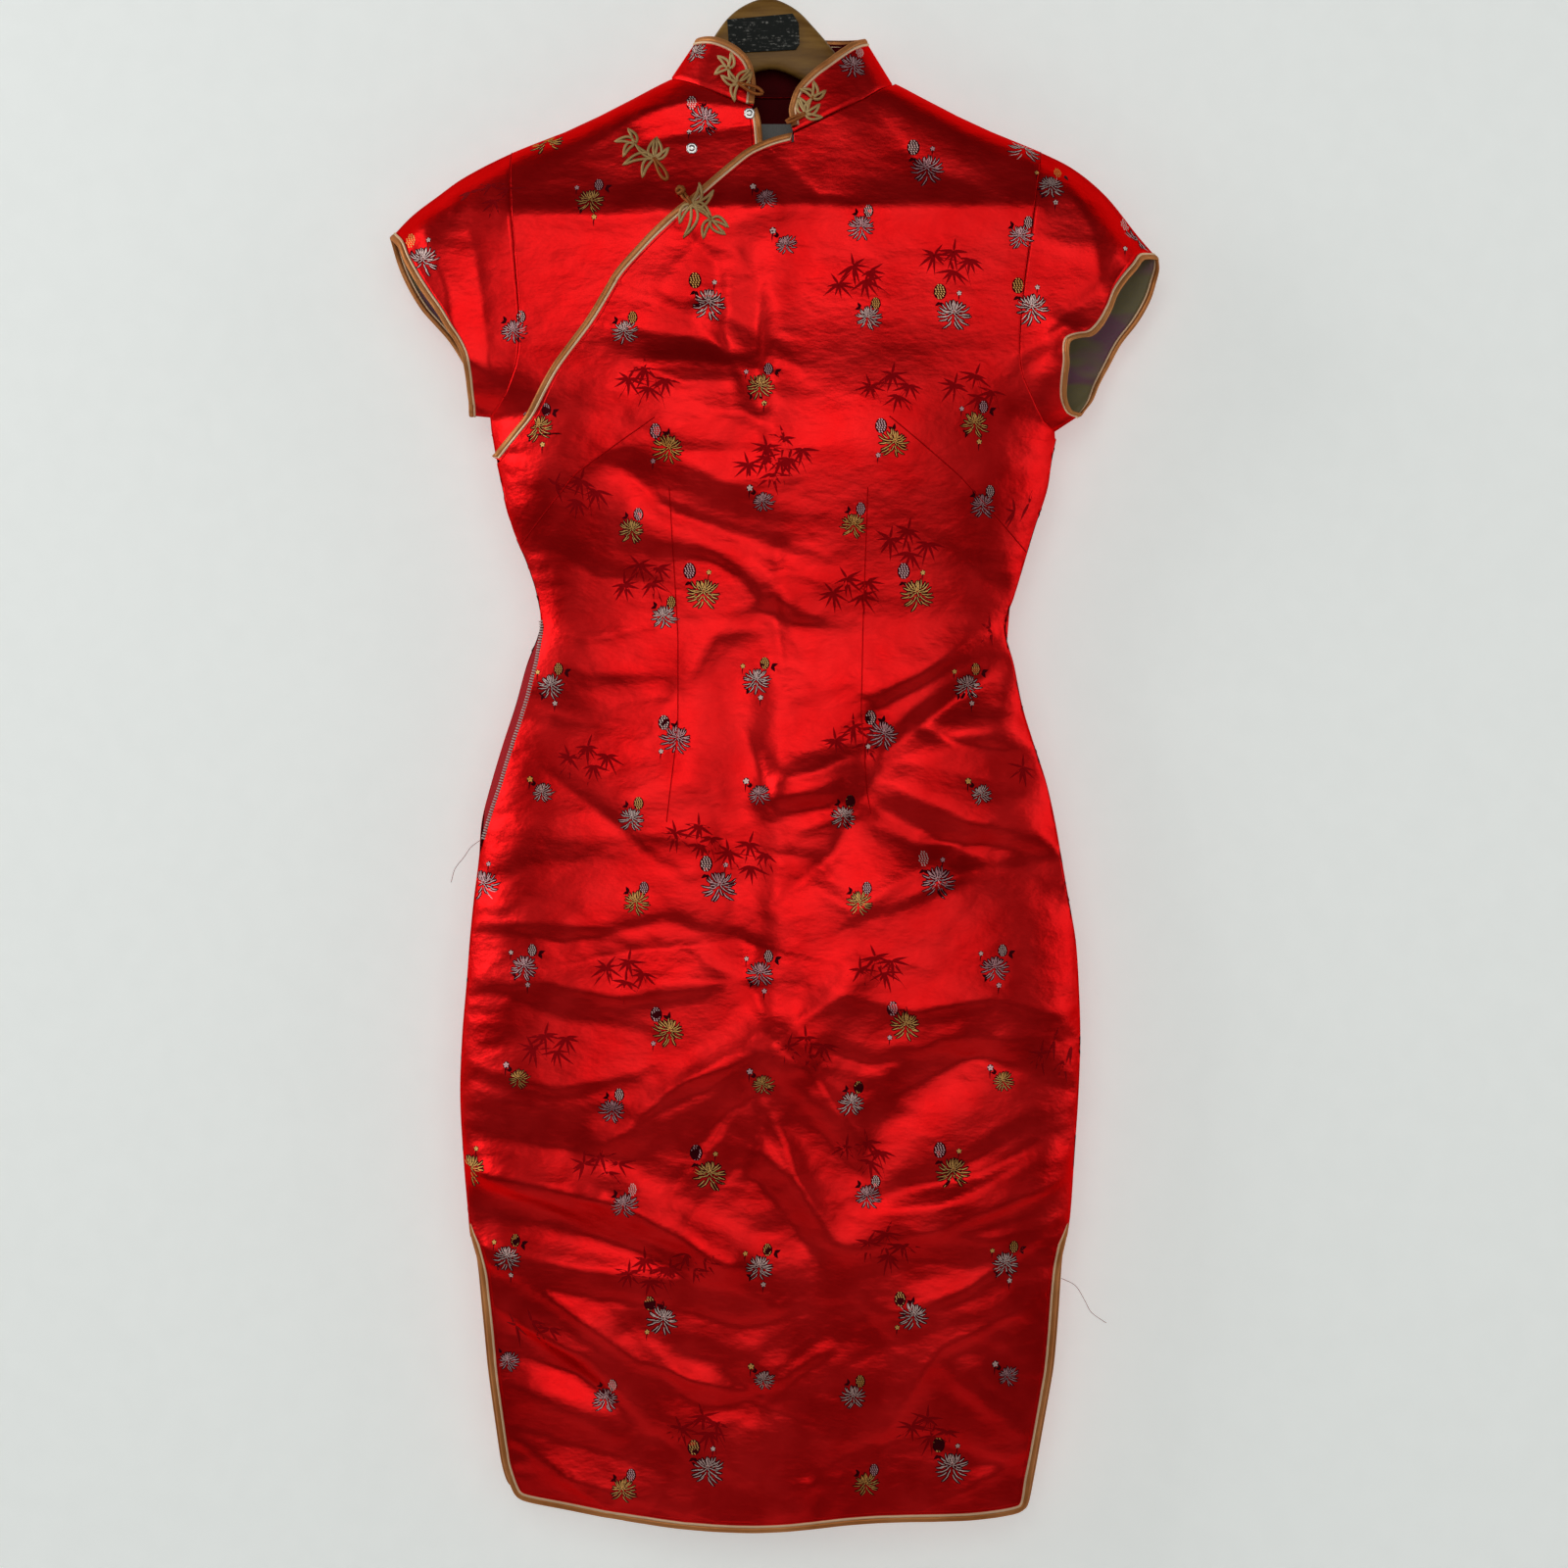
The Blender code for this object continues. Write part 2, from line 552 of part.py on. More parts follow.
def sheet_wall(name, outline, layer, spacing, mat, bands=None):
    """A piece as a wall: its outline and inner points, at its inner depth and its outer one."""
    points = outline + inner_points(outline, spacing)
    edges = [(i, (i + 1) % len(outline)) for i in range(len(outline))]
    verts, _, faces, *_ = delaunay_2d_cdt([Vector(p) for p in points], edges, [], 1, 1e-6)
    bm = bmesh.new()
    flat = [bm.verts.new(place(v.x, v.y, 0.0)) for v in verts]
    for face in faces:
        bm.faces.new([flat[i] for i in face])
    made = bmesh.ops.extrude_face_region(bm, geom=bm.faces[:])["geom"]
    outer = {v for v in made if isinstance(v, bmesh.types.BMVert)}
    for v in bm.verts:
        depth = outer_depth if v in outer else inner_depth
        v.co.y = facing(layer) * depth(layer, v.co.x / MM, -v.co.z / MM) * MM
    if bands:
        for band, (start, end) in bands.items():
            add_object(name + "_" + band, cut_band(bm, start, end), mat)
        bm.free()
    else:
        add_object(name, bm, mat)


def strip(name, edge, near, width, thick, layer, mat):
    """A binding or a piping laid beside a piece's cut edge, in the cloth's own surface."""
    section = BINDING_SECTION if width > PIPING_WIDTH else PIPING_SECTION
    lines = [inset(edge, near + width * across) for across, _ in section]
    rings = []
    for station in range(len(edge)):
        ring = []
        for line, (_, height) in zip(lines, section):
            x, drop = line[station]
            ring.append(place(x, drop, facing(layer) * (middle_depth(layer, x, drop) + thick * height)))
        rings.append(ring)
    return loft(name, rings, mat)


def trim(name, edge, layer, binding_thick=BINDING_THICK):
    strip("binding_" + name, edge, 0.0, BINDING_WIDTH, binding_thick, layer, COPPER)
    strip("piping_" + name, edge, PIPING_NEAR, PIPING_WIDTH, min(PIPING_THICK, binding_thick), layer, CREAM)


def collar_line(side):
    """Base of the collar in front, shoulder to throat, as the neckline of the pieces follows it."""
    if side == "right":
        rows = COLLAR[COLLAR_FOLDS[1]:] + [COLLAR_ENDS["right"]]
        return [(x, drop) for x, drop, *_ in rows]
    rows = [COLLAR_ENDS["left"]] + COLLAR[:COLLAR_FOLDS[0] + 1]
    return [(x, drop) for x, drop, *_ in rows]


def front_panel():
    overlap_edge = resample(OVERLAP_EDGE, OVERLAP_STATIONS)
    left_side = []
    for x, drop in side_seam("left", OVERLAP_EDGE[-1][1] + 8.0, SLIT_TOP):
        left_side.append((x + smooth(drop, column(ZIP_SETBACK, 0), column(ZIP_SETBACK, 1)), drop))
    hem_edge = FRONT_SLITS["left"] + FRONT_HEM + FRONT_SLITS["right"]
    outline = (
        inset(overlap_edge, TRIM_WIDTH)
        + left_side
        + inset(hem_edge, TRIM_WIDTH)
        + side_seam("right", SLIT_TOP, RIGHT_ARMPIT_DROP + 8.0)
        + resample(ARMHOLES["right"], ARM_STATIONS)[::-1]
        + shoulder(ARMHOLES["right"][0][0] - 14.0, NECK_CORNERS[1])
        + inset(collar_line("right"), NECK_EASE)
    )
    sheet_wall("front", outline, "front", FRONT_SPACING, SATIN, PANEL_BANDS)
    trim("overlap", overlap_edge, "front")
    trim("front_hem", hem_edge, "front")


def underlap():
    outline = (
        inset(UNDERLAP_EDGE, TRIM_WIDTH)
        + inset(collar_line("left"), NECK_EASE)
        + shoulder(NECK_CORNERS[0], ARMHOLES["left"][0][0] + 14.0)
        + resample(ARMHOLES["left"], ARM_STATIONS)
        + side_seam("left", LEFT_ARMPIT_DROP + 9.0, UNDERLAP_SIDE_END)
        + UNDERLAP_HIDDEN
    )
    sheet_wall("front_underlap", outline, "underlap", UNDERLAP_SPACING, SATIN)
    trim("underlap", UNDERLAP_EDGE, "underlap", UNDERLAP_BINDING_THICK)


def back_panel():
    left_slit = [(x - BACK_SLIT_MARGIN * ramp(drop, 980, 1010), drop) for x, drop in FRONT_SLITS["left"]]
    right_slit = [(x + BACK_SLIT_MARGIN * ramp(drop, 980, 1010), drop) for x, drop in FRONT_SLITS["right"]]
    hem_edge = left_slit + BACK_HEM + right_slit
    neck = [(x, drop) for x, drop, *_ in COLLAR[COLLAR_FOLDS[0]:COLLAR_FOLDS[1] + 1]]
    outline = (
        side_seam("left", LEFT_ARMPIT_DROP + 9.0, SLIT_TOP)
        + inset(hem_edge, TRIM_WIDTH)
        + side_seam("right", SLIT_TOP, RIGHT_ARMPIT_DROP + 8.0)
        + resample(ARMHOLES["right"], ARM_STATIONS)[::-1]
        + shoulder(ARMHOLES["right"][0][0] - 14.0, NECK_CORNERS[1])
        + inset(neck[::-1], BACK_NECK_EASE)
        + shoulder(NECK_CORNERS[0], ARMHOLES["left"][0][0] + 14.0)
        + resample(ARMHOLES["left"], ARM_STATIONS)
    )
    sheet_wall("back", outline, "back", BACK_SPACING, SATIN, PANEL_BANDS)
    trim("back_hem", hem_edge, "back")


def sleeve_tube(name, side, start, end, rows, wall, mat):
    """A length of a sleeve as a closed tube, between two distances from its finished edge.

    A start of None is the armhole. The ring runs down the front and up the back, and both faces
    meet in folds along the shoulder and the underarm.
    """
    armhole = resample(ARMHOLES[side], ARM_STATIONS)
    loops = []
    for row in range(rows):
        outer, inner = [], []
        for face in ("front", "back"):
            cuff = resample(CUFFS[side, face], ARM_STATIONS, CUFF_PACE[side, face])
            order = range(ARM_STATIONS) if face == "front" else range(ARM_STATIONS - 2, 0, -1)
            line = []
            for k in range(ARM_STATIONS):
                t = k / (ARM_STATIONS - 1)
                length = math.dist(armhole[k], cuff[k])
                begin = 1 - SEAM_GAP / length if start is None else start / length
                stop = end / length
                u = 1 - (begin + (stop - begin) * row / (rows - 1))
                x = armhole[k][0] + (cuff[k][0] - armhole[k][0]) * u
                drop = armhole[k][1] + (cuff[k][1] - armhole[k][1]) * u
                lift = top_at(armhole[0][0] + (cuff[0][0] - armhole[0][0]) * u)
                drop += (1 - t) ** 2 * (lift - (armhole[0][1] + (cuff[0][1] - armhole[0][1]) * u))
                line.append((x, drop, u, t))
            for k in order:
                x, drop, u, t = line[k]
                layer = "back" if face == "back" else "underlap"
                open_part = CUFF_GAPE[side, face] * u * u * math.sin(math.pi * t) ** 0.7
                near = (HALF_GAP + rise(layer, x, drop)) * min(1.0, 8 * min(t, 1 - t)) + open_part
                thick = WALL * slant(layer, x, drop)
                extra = (wall - WALL) / 2
                if k in (0, ARM_STATIONS - 1):
                    other = line[1] if k == 0 else line[-2]
                    along = (Vector(cuff[k]) - Vector(armhole[k])).normalized()
                    toward = Vector((-along.y, along.x))
                    if toward.dot(Vector((other[0] - x, other[1] - drop))) < 0:
                        toward = -toward
                    outer.append(place(x - toward.x * extra, drop - toward.y * extra, 0.0))
                    depth_in = WALL + extra
                    inner.append(place(x + toward.x * depth_in, drop + toward.y * depth_in, 0.0))
                else:
                    outer.append(place(x, drop, facing(layer) * (near + thick + extra)))
                    inner.append(place(x, drop, facing(layer) * max(near - extra, 0.05)))
        loops.append((outer, inner))
    bm = bmesh.new()
    skins = []
    for which in (0, 1):
        skins.append([[bm.verts.new(point) for point in loop[which]] for loop in loops])
    count = len(skins[0][0])
    for which, skin in enumerate(skins):
        for a, b in zip(skin, skin[1:]):
            for i in range(count):
                j = (i + 1) % count
                bm.faces.new((a[i], a[j], b[j], b[i]))
    for row in (0, -1):
        a, b = skins[0][row], skins[1][row]
        for i in range(count):
            j = (i + 1) % count
            bm.faces.new((a[i], a[j], b[j], b[i]))
    return add_object(name, bm, mat)


def sleeves():
    for side in ("left", "right"):
        sleeve_tube("sleeve_" + side, side, None, CUFF_TRIM, 6, WALL, SATIN)
        near = CUFF_PIPING_NEAR + CUFF_PIPING_WIDTH
        sleeve_tube("piping_cuff_" + side, side, near, CUFF_PIPING_NEAR, 2, WALL, CREAM)
        sleeve_tube("binding_cuff_" + side, side, CUFF_BINDING_WIDTH, 0.0, 2, BINDING_THICK, COPPER)


# Collar


def collar_points():
    """Base and top points of each collar station, with the ends of the trims as extra stations."""
    rows = [COLLAR_ENDS["left"]] + COLLAR + [COLLAR_ENDS["right"]]
    folds = (COLLAR_FOLDS[0] + 1, COLLAR_FOLDS[1] + 1)
    points = []
    for i, (base_x, base_drop, top_x, top_drop) in enumerate(rows):
        layer = "underlap" if i < folds[0] else "back" if i < folds[1] else "front"
        depth = 0.0 if i in folds else middle_depth(layer, base_x, base_drop)
        base = Vector((base_x, facing(layer) * depth, -base_drop))
        top = Vector((top_x, facing(layer) * depth * COLLAR_LEAN, -top_drop))
        points.append((base, top))
    return points


def sideways(line):
    """Unit normals of a line seen from above, pointing out of the neck."""
    normals = []
    for i in range(len(line)):
        a = line[max(i - 1, 0)]
        b = line[min(i + 1, len(line) - 1)]
        run = Vector((b.x - a.x, b.y - a.y, 0.0)).normalized()
        normals.append(Vector((run.y, -run.x, 0.0)) * -1.0)
    return normals


def collar():
    points = collar_points()
    bases = [base for base, _ in points]
    tops = [top for _, top in points]
    normals = [(a + b).normalized() for a, b in zip(sideways(bases), sideways(tops))]
    # The finished edge runs up the left end, along the top and down the right end
    edge = [bases[0]] + tops + [bases[-1]]
    edge_normals = [normals[0]] + normals + [normals[-1]]
    inward = []
    for i in range(len(edge)):
        a = edge[max(i - 1, 0)]
        b = edge[min(i + 1, len(edge) - 1)]
        along = (b - a).normalized()
        way = along.cross(edge_normals[i]).normalized()
        centre = bases[min(max(i - 1, 1), len(bases) - 2)]
        inward.append(way if way.dot(centre - edge[i]) > 0 else -way)
    half = COLLAR_WALL / 2
    rings = []
    for i in range(1, len(points) - 1):
        top = edge[i + 1] + inward[i + 1] * TRIM_WIDTH
        base = bases[i]
        normal = normals[i] * half
        if i in (1, len(points) - 2):
            end = edge[0 if i == 1 else -1] + inward[0 if i == 1 else -1] * TRIM_WIDTH
            edge_end = edge[1 if i == 1 else -2] + inward[1 if i == 1 else -2] * TRIM_WIDTH
            corners = (end - normal, edge_end - normal, edge_end + normal, end + normal)
            rings.append([p * MM for p in corners])
        ring = []
        for out in (-1, 1):
            column_points = [base.lerp(top, v) + normal * out for v in (0.0, 0.5, 1.0)]
            ring.append(column_points if out < 0 else column_points[::-1])
        rings.append([p * MM for p in ring[0] + ring[1]])
    first = rings.pop(0)
    last_index = len(rings) - 2
    last = rings.pop(last_index)
    rings = [spread(first)] + rings + [spread(last)]
    loft("collar", rings, SATIN)
    for name, section, near, width, thick, mat in (
        ("binding_collar", BINDING_SECTION, 0.0, BINDING_WIDTH, COLLAR_WALL, COPPER),
        ("piping_collar", PIPING_SECTION, PIPING_NEAR, PIPING_WIDTH, PIPING_THICK, CREAM),
    ):
        trim_rings = []
        for point, way, normal in zip(edge, inward, edge_normals):
            ring = []
            for across, height in section:
                ring.append((point + way * (near + width * across) + normal * thick * height) * MM)
            trim_rings.append(ring)
        loft(name, trim_rings, mat)


def spread(ring):
    """Give a four-point ring the middle points that its neighbours have."""
    a, b, c, d = ring
    return [a, (a + b) / 2, b, c, (c + d) / 2, d]


# Small pieces


def zip_tape():
    def depths(x, drop):
        under = rise("front", x, drop) * ZIP_TAPE_DEPTH
        far = max(under, HALF_GAP + SEAM_GAP + ZIP_TAPE_WALL)
        return (-(far - ZIP_TAPE_WALL), -far)

    outer = [(edge_at(drop, "left") + margin, drop) for drop, margin in ZIP_TAPE]
    inner = [(edge_at(drop, "left") + ZIP_TAPE_WIDTH, drop) for drop, _ in ZIP_TAPE]
    middle = [(edge_at(drop, "left") + ZIP_TAPE_WIDTH * 0.55, drop) for drop, _ in ZIP_TAPE]
    rings = []
    for station in zip(outer, middle, inner):
        near = [place(x, drop, depths(x, drop)[0]) for x, drop in station]
        far = [place(x, drop, depths(x, drop)[1]) for x, drop in station]
        rings.append(near + far[::-1])
    loft("zip_tape", rings, TAPE)


def neck_label():
    x0, d0, x1, d1 = NECK_LABEL
    rings = []
    for k in range(5):
        x = x0 + (x1 - x0) * k / 4
        far = [place(x, drop, inner_depth("back", x, drop) - LABEL_GAP) for drop in (d0, (d0 + d1) / 2, d1)]
        near = [place(x, drop, inner_depth("back", x, drop) - LABEL_GAP - LABEL_WALL)
                for drop in (d1, (d0 + d1) / 2, d0)]
        rings.append(far + near)
    loft("neck_label", rings, LABEL)


def surface_below(names):
    """A finder of the nearest cloth behind a place in front of the dress."""
    verts, faces = [], []
    for name in names:
        mesh = bpy.data.objects[name].data
        offset = len(verts)
        verts += [v.co.copy() for v in mesh.vertices]
        faces += [[offset + i for i in polygon.vertices] for polygon in mesh.polygons]
    tree = BVHTree.FromPolygons(verts, faces)

    def depth_at(x, drop, reach, fallback):
        found = []
        for dx, dd in ((0, 0), (reach, 0), (-reach, 0), (0, reach), (0, -reach)):
            hit = tree.ray_cast(place(x + dx, drop + dd, -200.0), Vector((0, 1, 0)))[0]
            if hit is not None and hit.y < -0.008:
                found.append(hit.y / MM)
        return min(found) if found else fallback

    return depth_at


def snaps(depth_at):
    sides = 12
    for name, (x, drop) in SNAPS.items():
        back = depth_at(x, drop, SNAP_RADIUS, 0.0) - SEAM_GAP
        rings = []
        for radius, height in ((SNAP_RADIUS, 0.0), (SNAP_RADIUS, 0.9), (2.2, 1.0), (1.9, SNAP_THICK)):
            ring = []
            for k in range(sides):
                angle = 2 * math.pi * k / sides
                dx, dd = radius * math.cos(angle), radius * math.sin(angle)
                ring.append(place(x + dx, drop + dd, back - height))
            rings.append(ring)
        loft(name, rings, SILVER)


def leaf(bm, depth_at, root, length, degrees, fallback):
    """One leaf of a frog: a slim closed body that lies on the cloth."""
    angle = math.radians(degrees)
    along = (math.cos(angle), -math.sin(angle))
    rows = []
    for fraction, width in ((-0.12, 0.5), (0.5, 1.0), (1.0, 0.25)):
        x = root[0] + along[0] * length * fraction
        drop = root[1] + along[1] * length * fraction
        half = LEAF_WIDTH * width / 2
        for part in (-0.4, -0.2, 0.0, 0.2, 0.4):
            px = x + along[0] * length * part
            pd = drop + along[1] * length * part
            found = depth_at(px, pd, LEAF_WIDTH * 0.7, fallback)
            fallback = found if part == -0.4 else min(found, fallback)
        back = fallback - SEAM_GAP
        row = []
        for across, height in ((1, 0.5), (0, 1.0), (-1, 0.5), (0, 0.0)):
            px = x - along[1] * half * across
            pd = drop + along[0] * half * across
            row.append(bm.verts.new(place(px, pd, back - 0.2 - LEAF_THICK * height)))
        rows.append(row)
    for a, b in zip(rows, rows[1:]):
        for i in range(4):
            j = (i + 1) % 4
            bm.faces.new((a[i], a[j], b[j], b[i]))
    bm.faces.new(rows[0][::-1])
    bm.faces.new(rows[-1])
    return fallback


def frogs(depth_at):
    for name, frog in FROGS.items():
        x, drop = frog["root"]
        start = depth_at(x, drop, KNOT_RADIUS, 0.0)
        angle = math.radians(frog["stem"][1])
        tip = (x + math.cos(angle) * frog["stem"][0], drop - math.sin(angle) * frog["stem"][0])
        bm = bmesh.new()
        for length, degrees in frog["leaves"] + [frog["stem"]]:
            leaf(bm, depth_at, frog["root"], length, degrees, start)
        tip_start = depth_at(*tip, KNOT_RADIUS, start)
        for length, degrees in frog["tip_leaves"]:
            leaf(bm, depth_at, tip, length, degrees, tip_start)
        obj = add_object(name, bm, GOLD)
        guide_bm = bmesh.new()
        bmesh.ops.create_icosphere(guide_bm, subdivisions=1, radius=KNOT_RADIUS * MM * 0.75)
        guide = add_object(name + "_core", guide_bm, GOLD)
        guide.location = place(x, drop, start - SEAM_GAP - KNOT_RADIUS)
        guide.hide_render = True
        guide.display_type = "WIRE"
        union = obj.modifiers.new("union", "BOOLEAN")
        union.operation = "UNION"
        union.solver = "EXACT"
        union.use_self = True
        union.object = guide


# Hanger


def hanger():
    stations = [(x, top_at(x) + ARM_UNDER_SHOULDER) for x in HANGER_ARMS] + HANGER_TOP
    stations.sort()
    half = HANGER_THICK / 2
    thin = half - HANGER_BEVEL
    rings = []
    for x, top in stations:
        apex = HANGER_APEX_DROP + HANGER_APEX_SLOPE * abs(x - HANGER_APEX_X)
        bottom = max(top + ARM_HEIGHT, apex) if abs(x) < 75.0 else top + ARM_HEIGHT
        high, low = top + HANGER_BEVEL, bottom - HANGER_BEVEL
        rings.append([
            place(x, top, -thin), place(x, high, -half), place(x, low, -half), place(x, bottom, -thin),
            place(x, bottom, thin), place(x, low, half), place(x, high, half), place(x, top, thin),
        ])
    loft("hanger_wood", rings, WOOD)
    front = -half - SEAM_GAP
    plate = [[place(x, drop, front - step) for x, drop in PLAQUE] for step in (0.0, PLAQUE_THICK)]
    loft("hanger_plaque", plate, BRASS)


def hook():
    radius = HOOK_INNER + HOOK_WIRE
    start, end = HOOK_ARC
    count = 22
    path = []
    for k in range(count):
        angle = math.radians(start + (end - start) * k / (count - 1))
        path.append((radius * math.cos(angle), HOOK_INNER - radius * math.sin(angle)))
    path += HOOK_NECK
    sides = 8
    rings = []
    for i, (x, drop) in enumerate(path):
        a = path[max(i - 1, 0)]
        b = path[min(i + 1, len(path) - 1)]
        length = math.dist(a, b)
        across = ((b[1] - a[1]) / length, -(b[0] - a[0]) / length)
        ring = []
        for k in range(sides):
            turn = 2 * math.pi * (k + 0.5) / sides
            out = HOOK_WIRE * math.cos(turn)
            ring.append(place(x + across[0] * out, drop + across[1] * out, HOOK_WIRE * math.sin(turn)))
        rings.append(ring)
    loft("hanger_hook", rings, STEEL)


for old in list(bpy.data.objects):
    bpy.data.objects.remove(old)

SATIN = material("red_satin", (0.66, 0.012, 0.02), 0.38, 0.35)
COPPER = material("copper_binding", (0.43, 0.155, 0.045), 0.45, 0.3)
CREAM = material("cream_piping", (0.83, 0.5, 0.3), 0.5, 0.1)
GOLD = material("frog_cord", (0.36, 0.22, 0.075), 0.45, 0.4)
SILVER = material("snap_metal", (0.7, 0.7, 0.68), 0.25, 1.0)
TAPE = material("zip_tape", (0.27, 0.008, 0.03), 0.7, 0.0)
LABEL = material("neck_label", (0.55, 0.53, 0.5), 0.6, 0.0)
WOOD = material("hanger_wood", (0.36, 0.2, 0.07), 0.4, 0.0)
BRASS = material("dark_plaque", (0.035, 0.03, 0.028), 0.5, 0.2)
STEEL = material("hook_wire", (0.5, 0.5, 0.5), 0.3, 1.0)

front_panel()
underlap()
back_panel()
sleeves()
collar()
zip_tape()
neck_label()
beneath = surface_below([
    "front_yoke", "front_bust", "front_underlap", "collar", "binding_collar", "piping_collar",
    "binding_overlap", "piping_overlap", "binding_underlap", "piping_underlap",
])
snaps(beneath)
frogs(beneath)
hanger()
hook()
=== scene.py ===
"""Looks of a short red brocade cheongsam on its wooden hanger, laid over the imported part."""

import json
import math

import bmesh
import bpy
import numpy as np
from mathutils import Matrix, Vector
from mathutils.bvhtree import BVHTree

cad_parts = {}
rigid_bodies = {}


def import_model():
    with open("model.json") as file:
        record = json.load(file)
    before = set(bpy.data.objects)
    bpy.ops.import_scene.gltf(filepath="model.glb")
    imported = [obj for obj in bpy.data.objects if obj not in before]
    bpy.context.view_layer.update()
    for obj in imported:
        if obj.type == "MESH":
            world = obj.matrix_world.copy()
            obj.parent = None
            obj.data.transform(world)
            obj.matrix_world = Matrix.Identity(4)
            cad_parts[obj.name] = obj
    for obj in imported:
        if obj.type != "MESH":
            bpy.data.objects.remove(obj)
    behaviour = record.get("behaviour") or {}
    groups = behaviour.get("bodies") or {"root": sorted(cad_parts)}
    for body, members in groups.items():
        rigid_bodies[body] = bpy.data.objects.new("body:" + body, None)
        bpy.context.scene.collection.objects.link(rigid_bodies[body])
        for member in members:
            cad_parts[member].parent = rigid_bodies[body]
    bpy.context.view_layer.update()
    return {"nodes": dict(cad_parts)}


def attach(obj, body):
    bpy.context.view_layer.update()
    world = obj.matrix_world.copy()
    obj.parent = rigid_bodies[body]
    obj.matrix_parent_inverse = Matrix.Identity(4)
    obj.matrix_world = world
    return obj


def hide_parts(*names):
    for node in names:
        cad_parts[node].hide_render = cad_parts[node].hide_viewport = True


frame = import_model()

# Tables are in millimetres: x from the centre line, and the drop below the top of the hook
MM = 0.001

# Drops at which the CAD cuts the front and the back into bands
BAND_CUTS = (212, 390, 770)

# Cloth and trims
CLOTH = 0.6
SEAM_STAND = 0.45
CLOTH_STAND = 1.3
SEAM_REACH = 5.0
# Distance in from the edge, width and thickness of each roll: the binding, then the piping
TRIM_ROLLS = {
    "edge": ((0.0, 4.1, 2.2), (3.8, 2.0, 2.1)),
    "cuff": ((0.0, 3.7, 2.1), (3.4, 1.8, 1.9)),
    "collar": ((-0.6, 4.4, 3.0), (3.5, 2.0, 2.8)),
}
TURNED_EDGE = (4.7, 4.0, 0.5)
CUFF_TURN = 4.3
COLLAR_CLOTH = 1.4
SLIT_TAPER = 22.0
LAP_STEP = 3.4
LAP_FULL = 34.0
LAP_END = 70.0

# Side seams: drop, left edge, right edge
SIDES = [
    (150, -310, 310), (250, -300, 300), (330, -262, 266), (355, -232, 238), (373, -208.5, 219),
    (383, -206.6, 212.4), (403.2, -203, 207.4), (426.2, -198, 203.8), (455, -190.8, 194.4),
    (483.8, -179.3, 185.8), (505.4, -172.8, 179.3), (527, -170.6, 172.4), (555.8, -180.7, 179.3),
    (584.6, -188.6, 185), (613.4, -198, 193.7), (642.2, -206.6, 203), (671, -213.8, 209.5),
    (699.8, -216, 214.6), (728.6, -219.6, 219.6), (757.4, -222.5, 224.6), (786.2, -224.6, 226.8),
    (829.4, -228.2, 228.2), (872.6, -229.7, 226.8), (915.8, -227.5, 223.9), (959, -223.9, 221),
    (977, -221.8, 218.2), (1002.2, -214.6, 212.4), (1074.2, -207.4, 206.6), (1146.2, -197.3, 193.7),
    (1180, -190, 188),
]

# Top of the shoulders: x, drop
TOP = [
    (-281.5, 241.2), (-265.7, 224.6), (-247, 210.2), (-226.8, 195.8), (-191.5, 177.8), (-149.8, 161.3),
    (-113.8, 144), (-74.9, 123.8), (-40, 112), (0, 108), (50, 112), (90, 126), (113.8, 138.2), (147.6, 155.5),
    (174.2, 167), (198.7, 177.1), (223.9, 190.1), (247.7, 210.2), (270.7, 239), (285.8, 256.3),
]

# Seams where the sleeves meet the body, shoulder to armpit: x, drop
ARMHOLES = {
    "left": [
        (-191.5, 177.8), (-190.8, 195.8), (-188.4, 229), (-185.8, 260.6), (-183.6, 286.6), (-182.2, 312.5),
        (-184, 335.5), (-188.4, 347.8), (-195.3, 361.4), (-207.5, 373),
    ],
    "right": [
        (198.7, 177.1), (196.9, 188.6), (191.5, 220.3), (187.2, 251.6), (183.6, 277.9), (180.4, 312.5),
        (180, 333.4), (182.9, 347.8), (190.8, 363.3), (199.4, 377.3), (208.8, 383.8),
    ],
}

# Finished edges of the sleeves, and how far each stands open
CUFFS = {
    ("left", "front"): [
        (-281.5, 241.2), (-274, 249.7), (-268.8, 261.2), (-261.4, 274.4), (-253.4, 286.8), (-244.1, 299.8),
        (-236.2, 312.6), (-230.1, 321.8), (-225.4, 331.8), (-223.6, 342.4), (-223.2, 354.2), (-223.2, 371.5),
    ],
    ("left", "back"): [
        (-281.5, 241.2), (-276.8, 259.2), (-270, 275), (-259.9, 291.6), (-249.8, 303.1), (-240.5, 313.6),
        (-232.6, 325.4), (-225.4, 338.8), (-223.2, 348.6), (-223.2, 371.5),
    ],
    ("right", "front"): [
        (285.8, 256.3), (274.3, 258.5), (267.8, 267.1), (258.8, 277.9), (252, 288), (247, 300.2),
        (239.8, 312.5), (232.6, 319.4), (223.9, 321.1), (216.7, 324), (215.3, 330.5), (216, 338.8),
        (215.3, 349.9), (216, 361.4), (221, 368.6), (229.7, 370.1),
    ],
    ("right", "back"): [
        (285.8, 256.3), (287.3, 262.1), (285.8, 270.7), (281.5, 284.8), (272.9, 300.2), (260.6, 316.1),
        (252, 331.9), (243.4, 347.8), (238, 360), (229.7, 370.1),
    ],
}
CUFF_PACE = {
    ("left", "front"): 1,
    ("left", "back"): 1,
    ("right", "front"): 0.76,
    ("right", "back"): 1,
}
CUFF_GAPE = {
    ("left", "front"): 5,
    ("left", "back"): 3,
    ("right", "front"): 14,
    ("right", "back"): 10,
}

